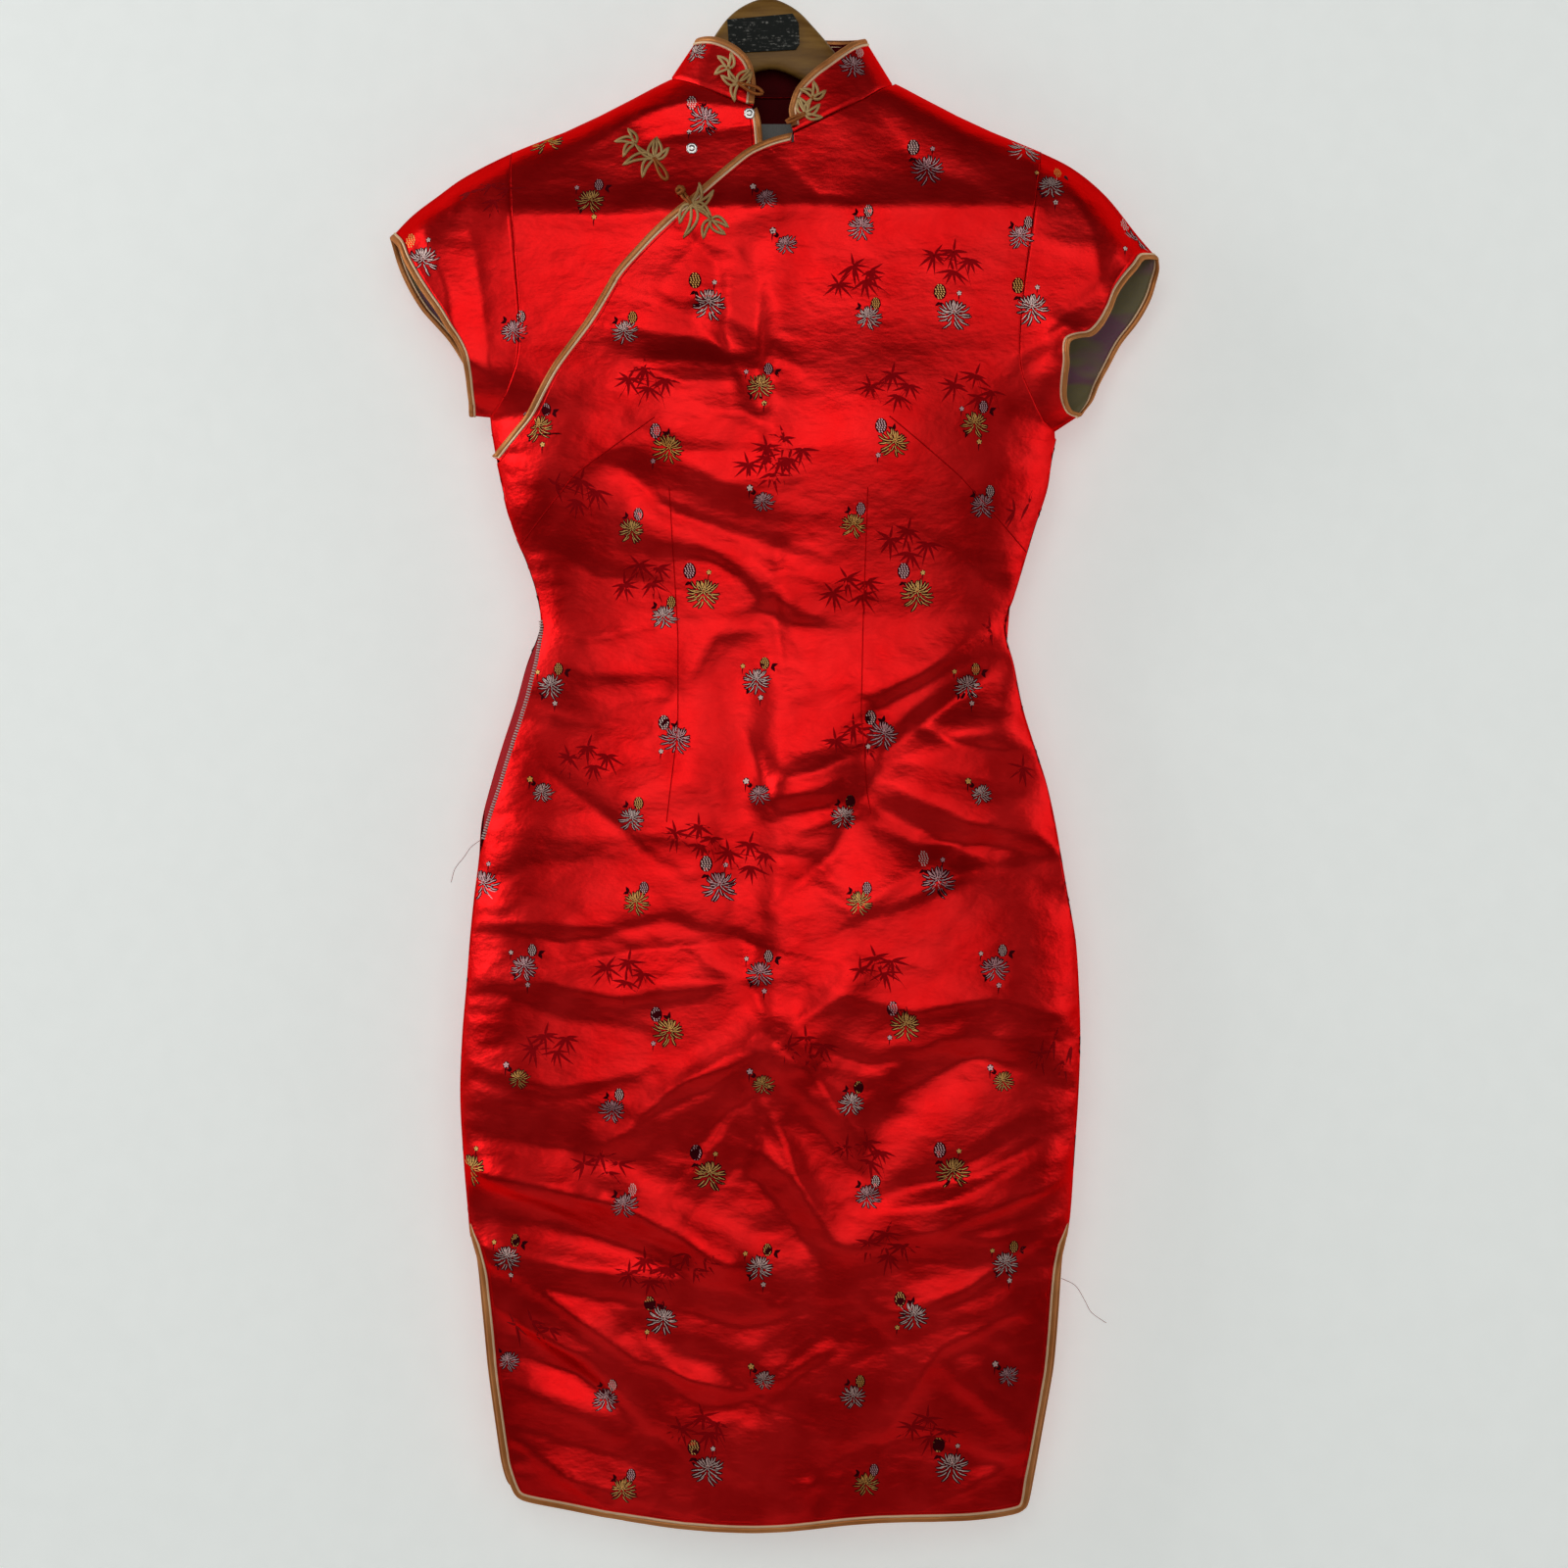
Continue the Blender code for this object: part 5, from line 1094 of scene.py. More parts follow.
def slim_leaf(base, angle, length, width, bend=0.0):
    """Outline of a leaf pointed at both ends."""
    outline = []
    for t, way in zip((0, *LEAF_SIDE, 1, *LEAF_SIDE[::-1]), (0, 1, 1, 1, 1, 0, -1, -1, -1, -1)):
        across = way * width / 2 * math.sin(math.pi * t ** 0.6) + bend * length * t * t
        outline.append(beside(base, angle, length * t, across))
    return outline


def draw_bamboo(cloth, ground, x, drop, degrees, random, side=-1):
    """A spray of slim leaves in the ground's own red: a few fans on a thin stem."""
    bm = bmesh.new()
    fans = ((-12.0, 3.0, 8), (1.0, -5.0, 7), (14.0, 1.0, 7), (5.0, 9.0, 6))
    lean = math.radians(degrees)
    for dx, dd, count in fans:
        dx, dd = dx + random.uniform(-2, 2), dd + random.uniform(-2, 2)
        cosine, sine = math.cos(lean), math.sin(lean)
        base = (x + dx * cosine - dd * sine, drop + dx * sine + dd * cosine)
        for k in range(count):
            turn = -math.pi / 2 - lean + (k - (count - 1) / 2) * 0.52 + random.uniform(-0.15, 0.15)
            length = random.uniform(9.5, 16.5) * (1.1 - 0.08 * abs(k - count // 2))
            shape = slim_leaf(base, turn, length, random.uniform(1.7, 2.5), random.uniform(-0.1, 0.1))
            woven_shape(bm, ground, shape, 0.08, 0, side)
        if dx < 5:
            shape = slim_leaf(base, math.pi / 2 - lean + random.uniform(-0.5, 0.5), 10.0, 2.0)
            woven_shape(bm, ground, shape, 0.08, 0, side)
    for start, turn, length in (((x - 12, drop + 1), 0.1, 26.0), ((x + 8, drop + 2), -0.95, 24.0)):
        woven_shape(bm, ground, slim_leaf(start, turn - lean, length, 0.7, -0.12), 0.08, 0, side)
    join_into(cloth, bm)


def add_brocade(ground):
    random = np.random.default_rng(11)
    bm = bmesh.new()
    for kind, places in MOTIFS:
        for x, drop, colour in places:
            draw_motif(bm, ground, kind, x, drop, colour, random)
    for across in range(-2, 3):
        for down in range(-1, 6):
            for k, (kind, (dx, dd)) in enumerate(BACK_REPEAT.items()):
                x = across * 177.0 + 20.0 + dx
                drop = 120.0 + down * 211.0 + dd
                if abs(x) < 250 and drop > 130:
                    colour = (SILVER, GOLD, LILAC)[(across + down + k) % 3]
                    draw_motif(bm, ground, kind, x, drop, colour, random, 1)
    add_piece("brocade_flowers", bm, [SILVER_THREAD, GOLD_THREAD, LILAC_THREAD, DARK_THREAD])
    bm = bmesh.new()
    for x, drop, degrees in BAMBOO:
        draw_bamboo(bm, ground, x, drop, degrees, random)
        draw_bamboo(bm, ground, -x, drop + 30.0, -degrees, random, 1)
    add_piece("brocade_bamboo", bm, [RED_TWILL])


def laid_line(ground, points, step, lift, side=-1):
    """Points x, y, drop along a line, standing off the cloth by lift."""
    line = relax(points, step, 2)
    placed = []
    for x, drop in line:
        y = ground.depth(x, drop, side)
        if y is not None:
            placed.append((x, y + side * lift, drop))
    return np.array(placed)


# Darts and armhole seams as thin tubes in a darker red than the satin: painted shade along the seam lines
def add_seams(ground):
    bm = bmesh.new()
    for points in DARTS:
        join_into(bm, tube(laid_line(ground, points, 3.0, -0.1), 0.5, 5))
    for side in ("left", "right"):
        for face in (-1, 1):
            join_into(bm, tube(laid_line(ground, ARMHOLES[side][:-1], 3.0, -0.2, face), 0.45, 5))
    add_piece("sewn_seams", face_outward(bm), [SEAM_SHADE])


def petal_loop(root, length, degrees, width, bend):
    """A closed loop of cord in the shape of a pointed petal, x and drop."""
    line = []
    for k in range(21):
        t = 1 - abs(1 - k / 10)
        way = 1 if k < 10 else -1
        across = way * width / 2 * math.sin(math.pi * t ** 0.8) ** 0.85 + bend * length * (t * t - 0.6 * t)
        line.append(beside(root, math.radians(degrees), length * t, across))
    return line


def cord_on(ground, line, radius, fallback, sides=7):
    """A cord laid along a line of x, drop on the cloth."""
    placed = []
    last = fallback
    for x, drop in line:
        found = [ground.depth(x + dx, drop + dd) for dx, dd in ((0, 0), (1, 0), (-1, 0), (0, 1), (0, -1))]
        found = [y for y in found if y is not None and y < -4.0]
        last = min(found) if found else last
        placed.append((x, last - radius * 0.85, drop))
    placed = np.array(placed)
    placed[1:-1, 1] = placed[1:-1, 1] / 2 + (placed[:-2, 1] + placed[2:, 1]) / 4
    return tube(placed, radius, sides)


def frog_leaves(ground, frog, tip, random, base):
    """The khaki loops and the two cords of the stem."""
    khaki = bmesh.new()
    for centre, petals in ((frog["root"], frog["petals"]), (tip, frog["tip_petals"])):
        for length, degrees in petals:
            bend = random.choice((-1, 1)) * random.uniform(0.55, 0.95)
            line = petal_loop(centre, length, degrees, min(5.0, 0.15 * length + 1.9), bend)
            join_into(khaki, cap_ends(cord_on(ground, line, CORD_RADIUS, base)))
    reach, degrees = frog["stem"]
    for shift in (-1.3, 1.3):
        line = []
        for t in np.linspace(0, 1, 8):
            sway = shift * math.sin(math.pi * min(t + 0.15, 1.0)) + 1.5 * math.sin(math.pi * t)
            line.append(beside(frog["root"], math.radians(degrees), reach * t, sway))
        join_into(khaki, cap_ends(cord_on(ground, line, CORD_RADIUS, base)))
    return khaki


def frog_fitting(ground, frog, tip, base):
    """The copper cords that end in a knot or make a loop, and the two beads."""
    copper = bmesh.new()
    root = frog["root"]
    far = frog.get("knot") or frog["loop"]
    along = np.array([far[0] - root[0], far[1] - root[1]])
    side = np.array([along[1], -along[0]]) / np.linalg.norm(along)
    spread = 1.0 if "knot" in frog else 2.4
    for shift in (-1.0, 1.0):
        line = []
        for t in np.linspace(0, 1, 12):
            bow = shift * (0.6 + spread * math.sin(math.pi * t) ** 0.8 * t * 1.2)
            if "loop" in frog and t > 0.9:
                bow *= (1.0 - t) / 0.1
            line.append(tuple(np.array(root) + along * t + side * bow))
        join_into(copper, cap_ends(cord_on(ground, line, LOOP_RADIUS, base)))
    if "knot" in frog:
        y = ground.depth(*far)
        y = (base if y is None else y) - KNOT_SIZE
        for tilt in (0.0, 1.05, 2.1):
            ring = []
            for turn in np.linspace(0, 2 * math.pi, 17):
                wide, flat = KNOT_SIZE * math.cos(turn), KNOT_SIZE * math.sin(turn)
                x = far[0] + wide * math.cos(tilt) - flat * 0.55 * math.sin(tilt)
                drop = far[1] + wide * math.sin(tilt) + flat * 0.55 * math.cos(tilt)
                ring.append((x, y + flat * 0.6, drop))
            join_into(copper, tube(ring, 1.4, 7))
    for centre in (root, tip):
        y = (ground.depth(*centre) or base) - 0.8
        bead = bmesh.new()
        place = Matrix.Translation((centre[0] * MM, y * MM, -centre[1] * MM))
        bmesh.ops.create_icosphere(bead, subdivisions=2, radius=1.5 * MM, matrix=place)
        join_into(copper, bead)
    return copper


def add_frogs(ground):
    for number, (name, frog) in enumerate(FROGS.items()):
        random = np.random.default_rng(40 + number)
        base = ground.depth(*frog["root"]) or -24.0
        reach, degrees = frog["stem"]
        tip = beside(frog["root"], math.radians(degrees), reach, 0.0)
        whole = frog_leaves(ground, frog, tip, random, base)
        start = len(whole.faces)
        join_into(whole, frog_fitting(ground, frog, tip, base))
        whole.faces.ensure_lookup_table()
        for face in whole.faces[start:]:
            face.material_index = 1
        add_piece("cord_" + name, face_outward(whole), [KHAKI_CORD, COPPER_CORD], [name])


def add_snaps(ground):
    for name, (x, drop) in SNAPS.items():
        around = [ground.depth(x + dx, drop + dd) for dx, dd in ((-3, 0), (3, 0), (0, -3), (0, 3), (0, 0))]
        back = min(y for y in around if y is not None) + 0.15
        rings = []
        for radius, height in SNAP_PROFILE:
            ring = []
            for turn in 2 * math.pi * np.arange(32) / 32:
                scallop = 1 - 0.12 * max(0.0, math.cos(4 * turn)) ** 3 * (radius > 3.5)
                reach = radius * scallop
                ring.append((x + reach * math.cos(turn), back - height, drop + reach * math.sin(turn)))
            rings.append(ring)
        bm = grid(rings, closed=True)
        bmesh.ops.remove_doubles(bm, verts=bm.verts, dist=2e-5)
        add_piece("metal_" + name, face_outward(bm), [SNAP_METAL], [name])


def front_edge_beside_zip(ground, drop):
    """x and y at which the front's free edge lies along the zip."""
    for x in np.arange(float(edge_at(drop, "left")), -140.0, 0.4):
        y = ground.depth(x, drop)
        if y is not None and y < -0.5:
            return x, y
    return -140.0, -5.0


def soften_edges(bm, offset, segments):
    bmesh.ops.bevel(
        bm, geom=bm.edges[:], offset=offset * MM, offset_type="OFFSET", segments=segments, profile=0.5,
        affect="EDGES", material=-1,
    )


def add_zip(ground):
    drops = relax([(0.0, drop) for drop in ZIP_DROPS], 1.9, 0)[:, 1]
    edge = np.array([front_edge_beside_zip(ground, drop) for drop in drops])
    edge[2:-2] = (edge[:-4] + edge[1:-3] + edge[2:-2] + edge[3:-1] + edge[4:]) / 5
    bm = bmesh.new()
    for k in range(1, len(drops) - 1):
        tilt = math.atan2(edge[k + 1][0] - edge[k - 1][0], drops[k + 1] - drops[k - 1])
        place = Matrix.Translation(((edge[k][0] - 1.0) * MM, (edge[k][1] + 0.2) * MM, -drops[k] * MM))
        size = Matrix.Diagonal((*(side * MM for side in ZIP_TOOTH), 1.0))
        tooth = bmesh.new()
        bmesh.ops.create_cube(tooth, size=1.0, matrix=place @ Matrix.Rotation(-tilt, 4, "Y") @ size)
        soften_edges(tooth, 0.25, 1)
        join_into(bm, tooth)
    add_piece("zip_teeth", bm, [ZIP_PLASTIC])


THREAD_ENDS = {
    "zip": [(-213, -3, 684), (-221, -4.5, 690), (-226, -4, 697), (-233, -3, 706), (-236, -2.5, 716)],
    "slit": [(214, -2, 1008), (224, -3.5, 1013), (231, -3, 1024), (236, -2, 1033), (247, -1.5, 1041)],
}
THREAD_DIAMETER = 0.44


def add_threads():
    """Two loose ends of sewing thread."""
    for name, points in THREAD_ENDS.items():
        line = resample(points, 24)
        bm = cap_ends(tube(line, THREAD_DIAMETER / 2, 5))
        thread = add_piece("thread_end_" + name, face_outward(bm), [RED_THREAD])


# Hanger


def rounded_copy(name, node, mat, levels):
    """A CAD node's form with its facets rounded off."""
    bm = bmesh.new()
    bm.from_mesh(frame["nodes"][node].data)
    bmesh.ops.remove_doubles(bm, verts=bm.verts, dist=1e-6)
    bmesh.ops.join_triangles(
        bm, faces=bm.faces, angle_face_threshold=0.7, angle_shape_threshold=3.1, cmp_seam=False,
        cmp_sharp=False, cmp_uvs=False, cmp_vcols=False, cmp_materials=False,
    )
    obj = add_piece(name, bm, [mat], [node])
    rounding = obj.modifiers.new("rounding", "SUBSURF")
    rounding.levels = levels
    rounding.render_levels = levels
    return obj


def add_plaque():
    bm = bmesh.new()
    bm.from_mesh(frame["nodes"]["hanger_plaque"].data)
    bmesh.ops.remove_doubles(bm, verts=bm.verts, dist=1e-6)
    bmesh.ops.dissolve_limit(bm, angle_limit=0.02, verts=bm.verts, edges=bm.edges)
    soften_edges(bm, 0.35, 2)
    add_piece("plaque_plate", bm, [PLAQUE_FINISH], ["hanger_plaque"], False)


def keep_node(node, mat):
    frame["nodes"][node].material_slots[0].material = mat


# Materials


def new_material(name):
    mat = bpy.data.materials.new(name)
    mat.use_nodes = True
    return mat, mat.node_tree, mat.node_tree.nodes["Principled BSDF"]


def put(tree, socket, value):
    """Link a socket to another's output, or set it."""
    if isinstance(value, bpy.types.NodeSocket):
        tree.links.new(value, socket)
    elif socket.type == "RGBA":
        socket.default_value = (*value, 1.0)
    else:
        socket.default_value = value


def put_all(tree, target, values):
    for key, value in values.items():
        put(tree, target.inputs[key], value)


def node(tree, kind, output, values, **settings):
    """A new node, set up and linked; gives the output asked for."""
    made = tree.nodes.new("ShaderNode" + kind)
    for key, value in settings.items():
        setattr(made, key, value)
    put_all(tree, made, values)
    return made.outputs[output]


def mapped(tree, scale=(1.0, 1.0, 1.0), turn=0.0):
    place = node(tree, "TexCoord", "Object", {})
    return node(tree, "Mapping", "Vector", {"Vector": place, "Scale": scale, "Rotation": (0.0, turn, 0.0)})


def noise(tree, vector, scale, detail=2.0, roughness=0.5):
    values = {"Vector": vector, "Scale": scale, "Detail": detail, "Roughness": roughness}
    return node(tree, "TexNoise", "Fac", values)


def stretch(tree, value, low, high, to_low=0.0, to_high=1.0):
    values = {"Value": value, "From Min": low, "From Max": high, "To Min": to_low, "To Max": to_high}
    return node(tree, "MapRange", "Result", values)


def blend(tree, factor, first, second):
    return node(tree, "Mix", "Result", {"Factor": factor, "A": first, "B": second}, data_type="RGBA")


def raised(tree, height, strength, distance):
    return node(tree, "Bump", "Normal", {"Height": height, "Strength": strength, "Distance": distance})


# Satin: threads in a metre of noise, how floats and crumples are drawn out across, their heights
SATIN_THREADS = 2600.0
FLOWER_THREADS = 4000.0
FLOAT_SHAPE = (0.25, 1.0, 1.0)
CRUMPLE_SHAPE = (0.55, 1.0, 1.0)
CRUMPLE_SCALE = 75.0
CRUMPLE_HEIGHT = 26.0
SATIN_RELIEF = 0.0001


def satin_weave():
    """Fine floats of a satin, and the faint unevenness of the cloth, shared by its materials."""
    group = bpy.data.node_groups.new("satin_weave", "ShaderNodeTree")
    for name, way, kind in (
        ("Threads", "INPUT", "Float"), ("Vector", "INPUT", "Vector"),
        ("Height", "OUTPUT", "Float"), ("Patches", "OUTPUT", "Float"),
    ):
        group.interface.new_socket(name, in_out=way, socket_type="NodeSocket" + kind)
    enter = group.nodes.new("NodeGroupInput").outputs
    leave = group.nodes.new("NodeGroupOutput")
    weft = node(group, "VectorMath", "Vector", {0: enter["Vector"], 1: FLOAT_SHAPE}, operation="MULTIPLY")
    floats = noise(group, weft, enter["Threads"], 1.0)
    wider = node(group, "VectorMath", "Vector", {0: enter["Vector"], 1: CRUMPLE_SHAPE}, operation="MULTIPLY")
    crumple = noise(group, wider, CRUMPLE_SCALE, 3.0, 0.55)
    both = {0: crumple, 1: CRUMPLE_HEIGHT, 2: floats}
    put_all(group, leave, {
        "Height": node(group, "Math", "Value", both, operation="MULTIPLY_ADD"),
        "Patches": noise(group, enter["Vector"], 28.0, 4.0),
    })
    return group


def satin(name, deep, bright, roughness, metallic, glint=0.5, threads=SATIN_THREADS):
    mat, tree, shader = new_material(name)
    weave = tree.nodes.new("ShaderNodeGroup")
    weave.node_tree = WEAVE
    put_all(tree, weave, {"Threads": threads, "Vector": node(tree, "TexCoord", "Object", {})})
    patches = weave.outputs["Patches"]
    put_all(tree, shader, {
        "Base Color": blend(tree, stretch(tree, patches, 0.35, 0.65), deep, bright),
        "Roughness": stretch(tree, patches, 0.3, 0.7, roughness - 0.03, roughness + 0.03),
        "Metallic": metallic,
        "Specular IOR Level": glint,
        "Specular Tint": [min(1.0, 1.4 * c + 0.05) for c in bright],
        "Normal": raised(tree, weave.outputs["Height"], 0.35, SATIN_RELIEF),
    })
    return mat


def wood():
    mat, tree, shader = new_material("honey_wood")
    grain = noise(tree, mapped(tree, (14.0, 60.0, 120.0), 0.15), 1.0, 5.0, 0.6)
    pores = noise(tree, mapped(tree, (60.0, 400.0, 900.0), 0.15), 1.0, 2.0)
    streaks = stretch(tree, grain, 0.35, 0.65)
    put_all(tree, shader, {
        "Base Color": blend(tree, streaks, (0.17, 0.075, 0.012), (0.33, 0.17, 0.036)),
        "Roughness": stretch(tree, grain, 0.3, 0.7, 0.38, 0.5),
        "Specular IOR Level": 0.25,
        "Normal": raised(tree, pores, 0.25, 0.0003),
    })
    return mat


def plaque_finish():
    mat, tree, shader = new_material("worn_plaque")
    wear = noise(tree, mapped(tree), 260.0, 6.0, 0.7)
    scratches = noise(tree, mapped(tree, (90.0, 90.0, 900.0), 0.5), 1.0, 4.0, 0.7)
    worn, scratched = stretch(tree, wear, 0.5, 0.62), stretch(tree, scratches, 0.5, 0.6)
    marks = node(tree, "Math", "Value", {0: worn, 1: scratched}, operation="MULTIPLY")
    put_all(tree, shader, {
        "Base Color": blend(tree, marks, (0.012, 0.014, 0.012), (0.28, 0.27, 0.24)),
        "Roughness": 0.7,
        "Specular IOR Level": 0.2,
        "Normal": raised(tree, wear, 0.3, 0.0003),
    })
    return mat


def metal(name, colour, roughness):
    mat, tree, shader = new_material(name)
    dirt = noise(tree, mapped(tree), 900.0, 3.0)
    dull = tuple(c * 0.72 for c in colour)
    put_all(tree, shader, {
        "Base Color": blend(tree, stretch(tree, dirt, 0.35, 0.7), colour, dull),
        "Roughness": stretch(tree, dirt, 0.3, 0.7, roughness, roughness + 0.15),
        "Metallic": 1.0,
    })
    return mat


def lining():
    """The back of the brocade, where the flower threads float in olive and purple bands."""
    mat, tree, shader = new_material("brocade_back")
    bands = noise(tree, mapped(tree, (16.0, 16.0, 34.0), 0.4), 1.0, 2.0)
    ground = blend(tree, stretch(tree, bands, 0.45, 0.55), (0.19, 0.15, 0.055), (0.20, 0.06, 0.11))
    threads = noise(tree, mapped(tree, (300.0, 2000.0, 2000.0)), 1.0, 2.0)
    put_all(tree, shader, {
        "Base Color": blend(tree, stretch(tree, threads, 0.4, 0.7, 0.0, 0.4), ground, (0.15, 0.13, 0.10)),
        "Roughness": 0.6,
        "Normal": raised(tree, threads, 0.3, 0.0002),
    })
    return mat


def plain(name, colour, roughness, scale=500.0, relief=0.0002, depth=0.8):
    """A matt finish with a fine grain: tape, label, thread, plastic, paint."""
    mat, tree, shader = new_material(name)
    grain = noise(tree, mapped(tree), scale, 3.0)
    darker = tuple(c * depth for c in colour)
    put_all(tree, shader, {
        "Base Color": blend(tree, stretch(tree, grain, 0.35, 0.65), darker, colour),
        "Roughness": stretch(tree, grain, 0.3, 0.7, roughness - 0.05, roughness + 0.05),
        "Normal": raised(tree, grain, 0.3, relief),
    })
    return mat


WEAVE = satin_weave()
SATIN = satin("red_satin", (0.70, 0.007, 0.008), (0.84, 0.013, 0.014), 0.37, 0.97, 0.25)
SATIN_INSIDE = satin("red_satin_inside", (0.05, 0.001, 0.002), (0.08, 0.001, 0.003), 0.55, 0.1)
RED_TWILL = satin("bamboo_twill", (0.28, 0.002, 0.004), (0.34, 0.003, 0.006), 0.5, 0.5, 0.2)
LINING = lining()
COPPER_SATIN = satin("copper_satin", (0.46, 0.16, 0.045), (0.62, 0.25, 0.085), 0.42, 0.55)
CREAM_PIPING = satin("cream_piping", (0.80, 0.52, 0.31), (0.88, 0.62, 0.40), 0.45, 0.5)
KHAKI_CORD = satin("khaki_cord", (0.38, 0.22, 0.08), (0.62, 0.42, 0.19), 0.42, 0.3)
COPPER_CORD = satin("copper_cord", (0.30, 0.085, 0.02), (0.40, 0.13, 0.035), 0.42, 0.3)
SILVER_THREAD = satin(
    "silver_thread", (0.72, 0.44, 0.40), (0.96, 0.74, 0.68), 0.5, 0.85, 0.15, FLOWER_THREADS,
)
GOLD_THREAD = satin("gold_thread", (0.76, 0.33, 0.07), (0.96, 0.58, 0.19), 0.5, 0.85, 0.15, FLOWER_THREADS)
LILAC_THREAD = satin("lilac_thread", (0.60, 0.28, 0.30), (0.90, 0.56, 0.56), 0.5, 0.85, 0.15, FLOWER_THREADS)
DARK_THREAD = satin("dark_thread", (0.03, 0.001, 0.003), (0.07, 0.002, 0.006), 0.6, 0.1, 0.1, FLOWER_THREADS)
# A darker red than the satin: painted shade along the sewn seams
SEAM_SHADE = satin("seam_shadow", (0.40, 0.003, 0.004), (0.48, 0.003, 0.004), 0.45, 0.8, 0.1)
RED_THREAD = plain("red_thread", (0.30, 0.02, 0.02), 0.6)
ZIP_TAPE_CLOTH = plain("zip_tape_weave", (0.70, 0.004, 0.014), 0.7, 900.0)
ZIP_PLASTIC = plain("zip_teeth_nylon", (0.80, 0.56, 0.52), 0.4, 700.0, 0.0001)
LABEL_CLOTH = plain("label_satin", (0.24, 0.23, 0.21), 0.5, 900.0, 0.0001)
SNAP_METAL = metal("snap_nickel", (0.75, 0.74, 0.71), 0.22)
HOOK_METAL = metal("hook_steel", (0.55, 0.55, 0.54), 0.28)
WOOD = wood()
PLAQUE_FINISH = plaque_finish()


# The dress

front_nodes = [n for n in frame["nodes"] if n.startswith("front_") and n != "front_underlap"]
back_nodes = [n for n in frame["nodes"] if n.startswith("back_")]

front, back, underlap = (
    add_piece("cloth_" + layer, outer_skin(nodes, layer, steps), [SATIN, SATIN_INSIDE], nodes)
    for layer, nodes, steps in (
        ("front", front_nodes, 6), ("back", back_nodes, 5), ("underlap", ["front_underlap"], 4),
    )
)
for panel in (front, back, underlap):
    give_thickness(panel, CLOTH, 1)
sleeve_left = add_sleeve("left")
sleeve_right = add_sleeve("right")
collar = add_collar()

add_trim("overlap", OVERLAP_EDGE, "front")
add_trim("underlap", UNDERLAP_EDGE, "underlap")
slit_tops = {
    side: [(float(edge_at(drop, side)), drop) for drop in drops]
    for side, drops in (("left", (964.0, 972.0, 979.0)), ("right", (979.0, 972.0, 964.0)))
}
back_slits = {
    side: [(x + margin * float(ease(drop, 980, 1010)), drop) for x, drop in FRONT_SLITS[side]]
    for side, margin in (("left", -BACK_SLIT_MARGIN), ("right", BACK_SLIT_MARGIN))
}
for layer, slits, hem in (("front", FRONT_SLITS, FRONT_HEM), ("back", back_slits, BACK_HEM)):
    edge = slit_tops["left"] + slits["left"] + hem + slits["right"] + slit_tops["right"]
    add_trim(layer + "_hem", edge, layer, SLIT_TAPER)

trims = [o for o in bpy.data.objects if o.name.startswith("trim_")]
ground = Ground([front, back, underlap, sleeve_left, sleeve_right, collar])
add_brocade(ground)
add_seams(ground)
ground_with_trims = Ground([front, back, underlap, collar] + trims)
add_frogs(ground_with_trims)
add_snaps(ground)
add_zip(Ground([front]))
add_threads()
keep_node("zip_tape", ZIP_TAPE_CLOTH)
keep_node("neck_label", LABEL_CLOTH)
rounded_copy("wood_hanger", "hanger_wood", WOOD, 2)
rounded_copy("steel_hook", "hanger_hook", HOOK_METAL, 2)
add_plaque()


# Setting: a pale wall behind and a pale floor below


def flat_board(name, size, turn, place, paint):
    bm = bmesh.new()
    bmesh.ops.create_grid(bm, x_segments=1, y_segments=1, size=size)
    bmesh.ops.rotate(bm, verts=bm.verts, matrix=Matrix.Rotation(math.radians(turn), 3, "X"))
    bmesh.ops.translate(bm, verts=bm.verts, vec=place)
    return finish_mesh(name, bm, [paint])


WALL_PAINT = plain("wall_paint", (0.84, 0.86, 0.84), 0.85, 60.0, 0.0004, 0.97)
wall_tree = WALL_PAINT.node_tree
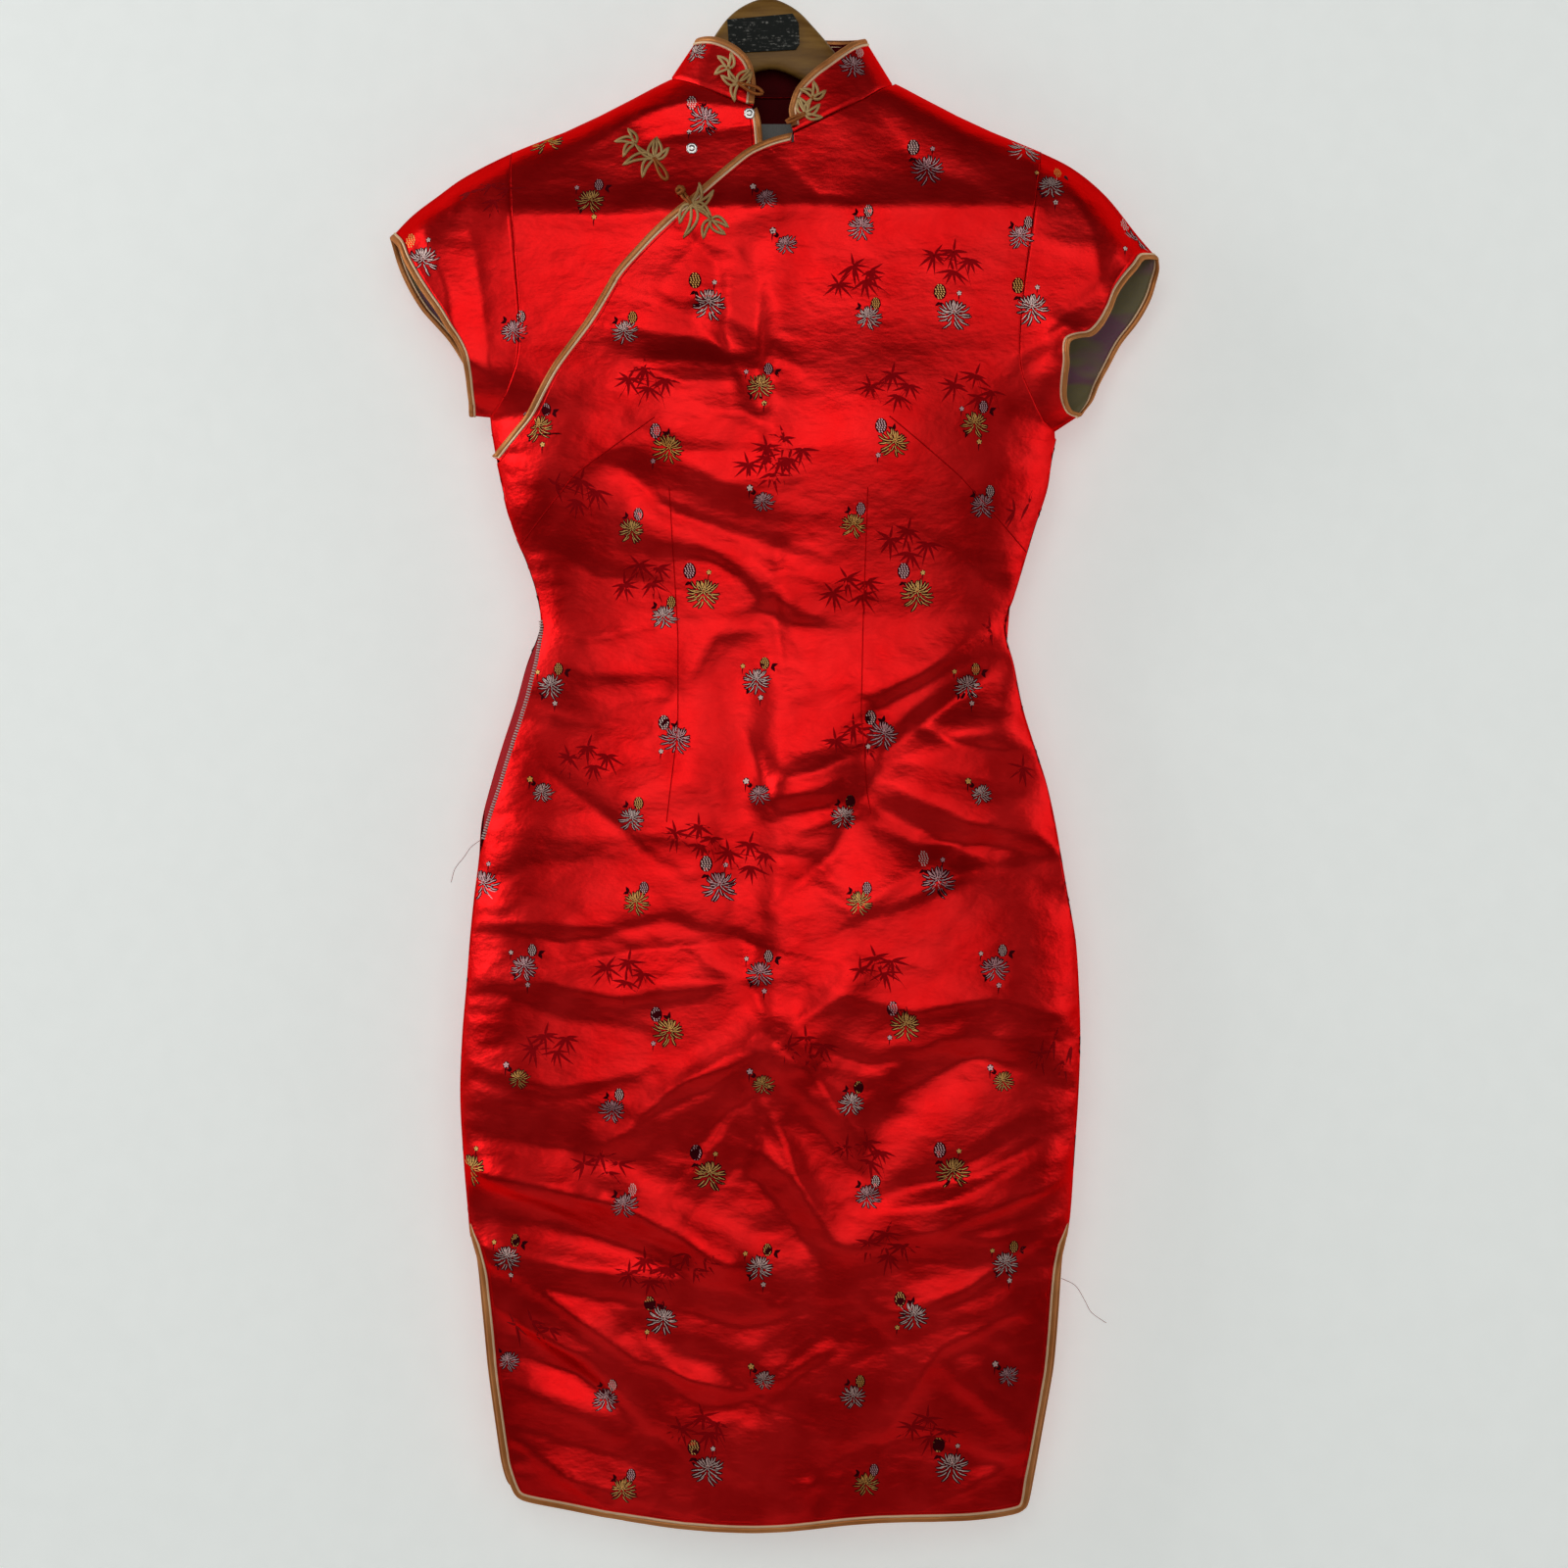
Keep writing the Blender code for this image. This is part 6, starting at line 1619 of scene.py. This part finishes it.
# The wall glows faintly, and lets a view from behind through
put_all(wall_tree, wall_tree.nodes["Principled BSDF"], {
    "Emission Color": (0.95, 1.0, 0.97),
    "Emission Strength": 0.33,
    "Alpha": stretch(wall_tree, node(wall_tree, "NewGeometry", "Backfacing", {}), 0.0, 1.0, 1.0, 0.0),
})
FLOOR_PAINT = plain("floor_paint", (0.72, 0.72, 0.70), 0.8, 40.0, 0.0004, 0.97)
wall = flat_board("pale_wall", 3.0, 90, (0.0, 0.045, -0.6), WALL_PAINT)
floor = flat_board("pale_floor", 2.0, 0, (0.0, 0.0, -2.3), FLOOR_PAINT)

CAMERA_X = 0.0094
CAMERA_HEIGHT = -0.6435
CAMERA_DISTANCE = 1.608
camera = bpy.data.cameras.new("camera")
camera.lens = 50.0
camera.sensor_width = 36.0
eye = bpy.data.objects.new("camera", camera)
eye.location = (CAMERA_X, -CAMERA_DISTANCE, CAMERA_HEIGHT)
eye.rotation_euler = (math.radians(90), 0.0, 0.0)
bpy.context.scene.collection.objects.link(eye)
bpy.context.scene.camera = eye


def add_light(name, location, aim, size, watts, colour=(1.0, 1.0, 1.0)):
    light = bpy.data.lights.new(name, "AREA")
    light.shape = "RECTANGLE"
    light.size, light.size_y = size
    light.energy = watts
    light.color = colour
    lamp = bpy.data.objects.new(name, light)
    lamp.location = location
    way = Vector(aim) - Vector(location)
    lamp.rotation_euler = way.to_track_quat("-Z", "Y").to_euler()
    bpy.context.scene.collection.objects.link(lamp)


add_light("key_light", (0.1, -2.6, -0.13), (0.1, 0.0, -0.13), (2.8, 2.1), 18.0, (1.0, 0.99, 0.97))
add_light("window_light", (-0.3, -2.5, 0.2), (0.0, 0.0, -0.4), (0.7, 0.9), 3.0, (1.0, 0.99, 0.97))
add_light("left_light", (-2.4, -0.8, 0.3), (0.0, 0.0, -0.5), (0.9, 2.0), 23.0, (0.97, 0.99, 1.0))
add_light("right_light", (2.4, -0.7, -0.2), (0.0, 0.0, -0.6), (0.9, 2.0), 9.0)
world = bpy.data.worlds.new("studio")
world.use_nodes = True
sky = world.node_tree
put_all(sky, sky.nodes["Background"], {"Color": (0.85, 0.88, 0.92), "Strength": 0.09})
bpy.context.scene.world = world
bpy.context.scene.view_settings.view_transform = "Standard"
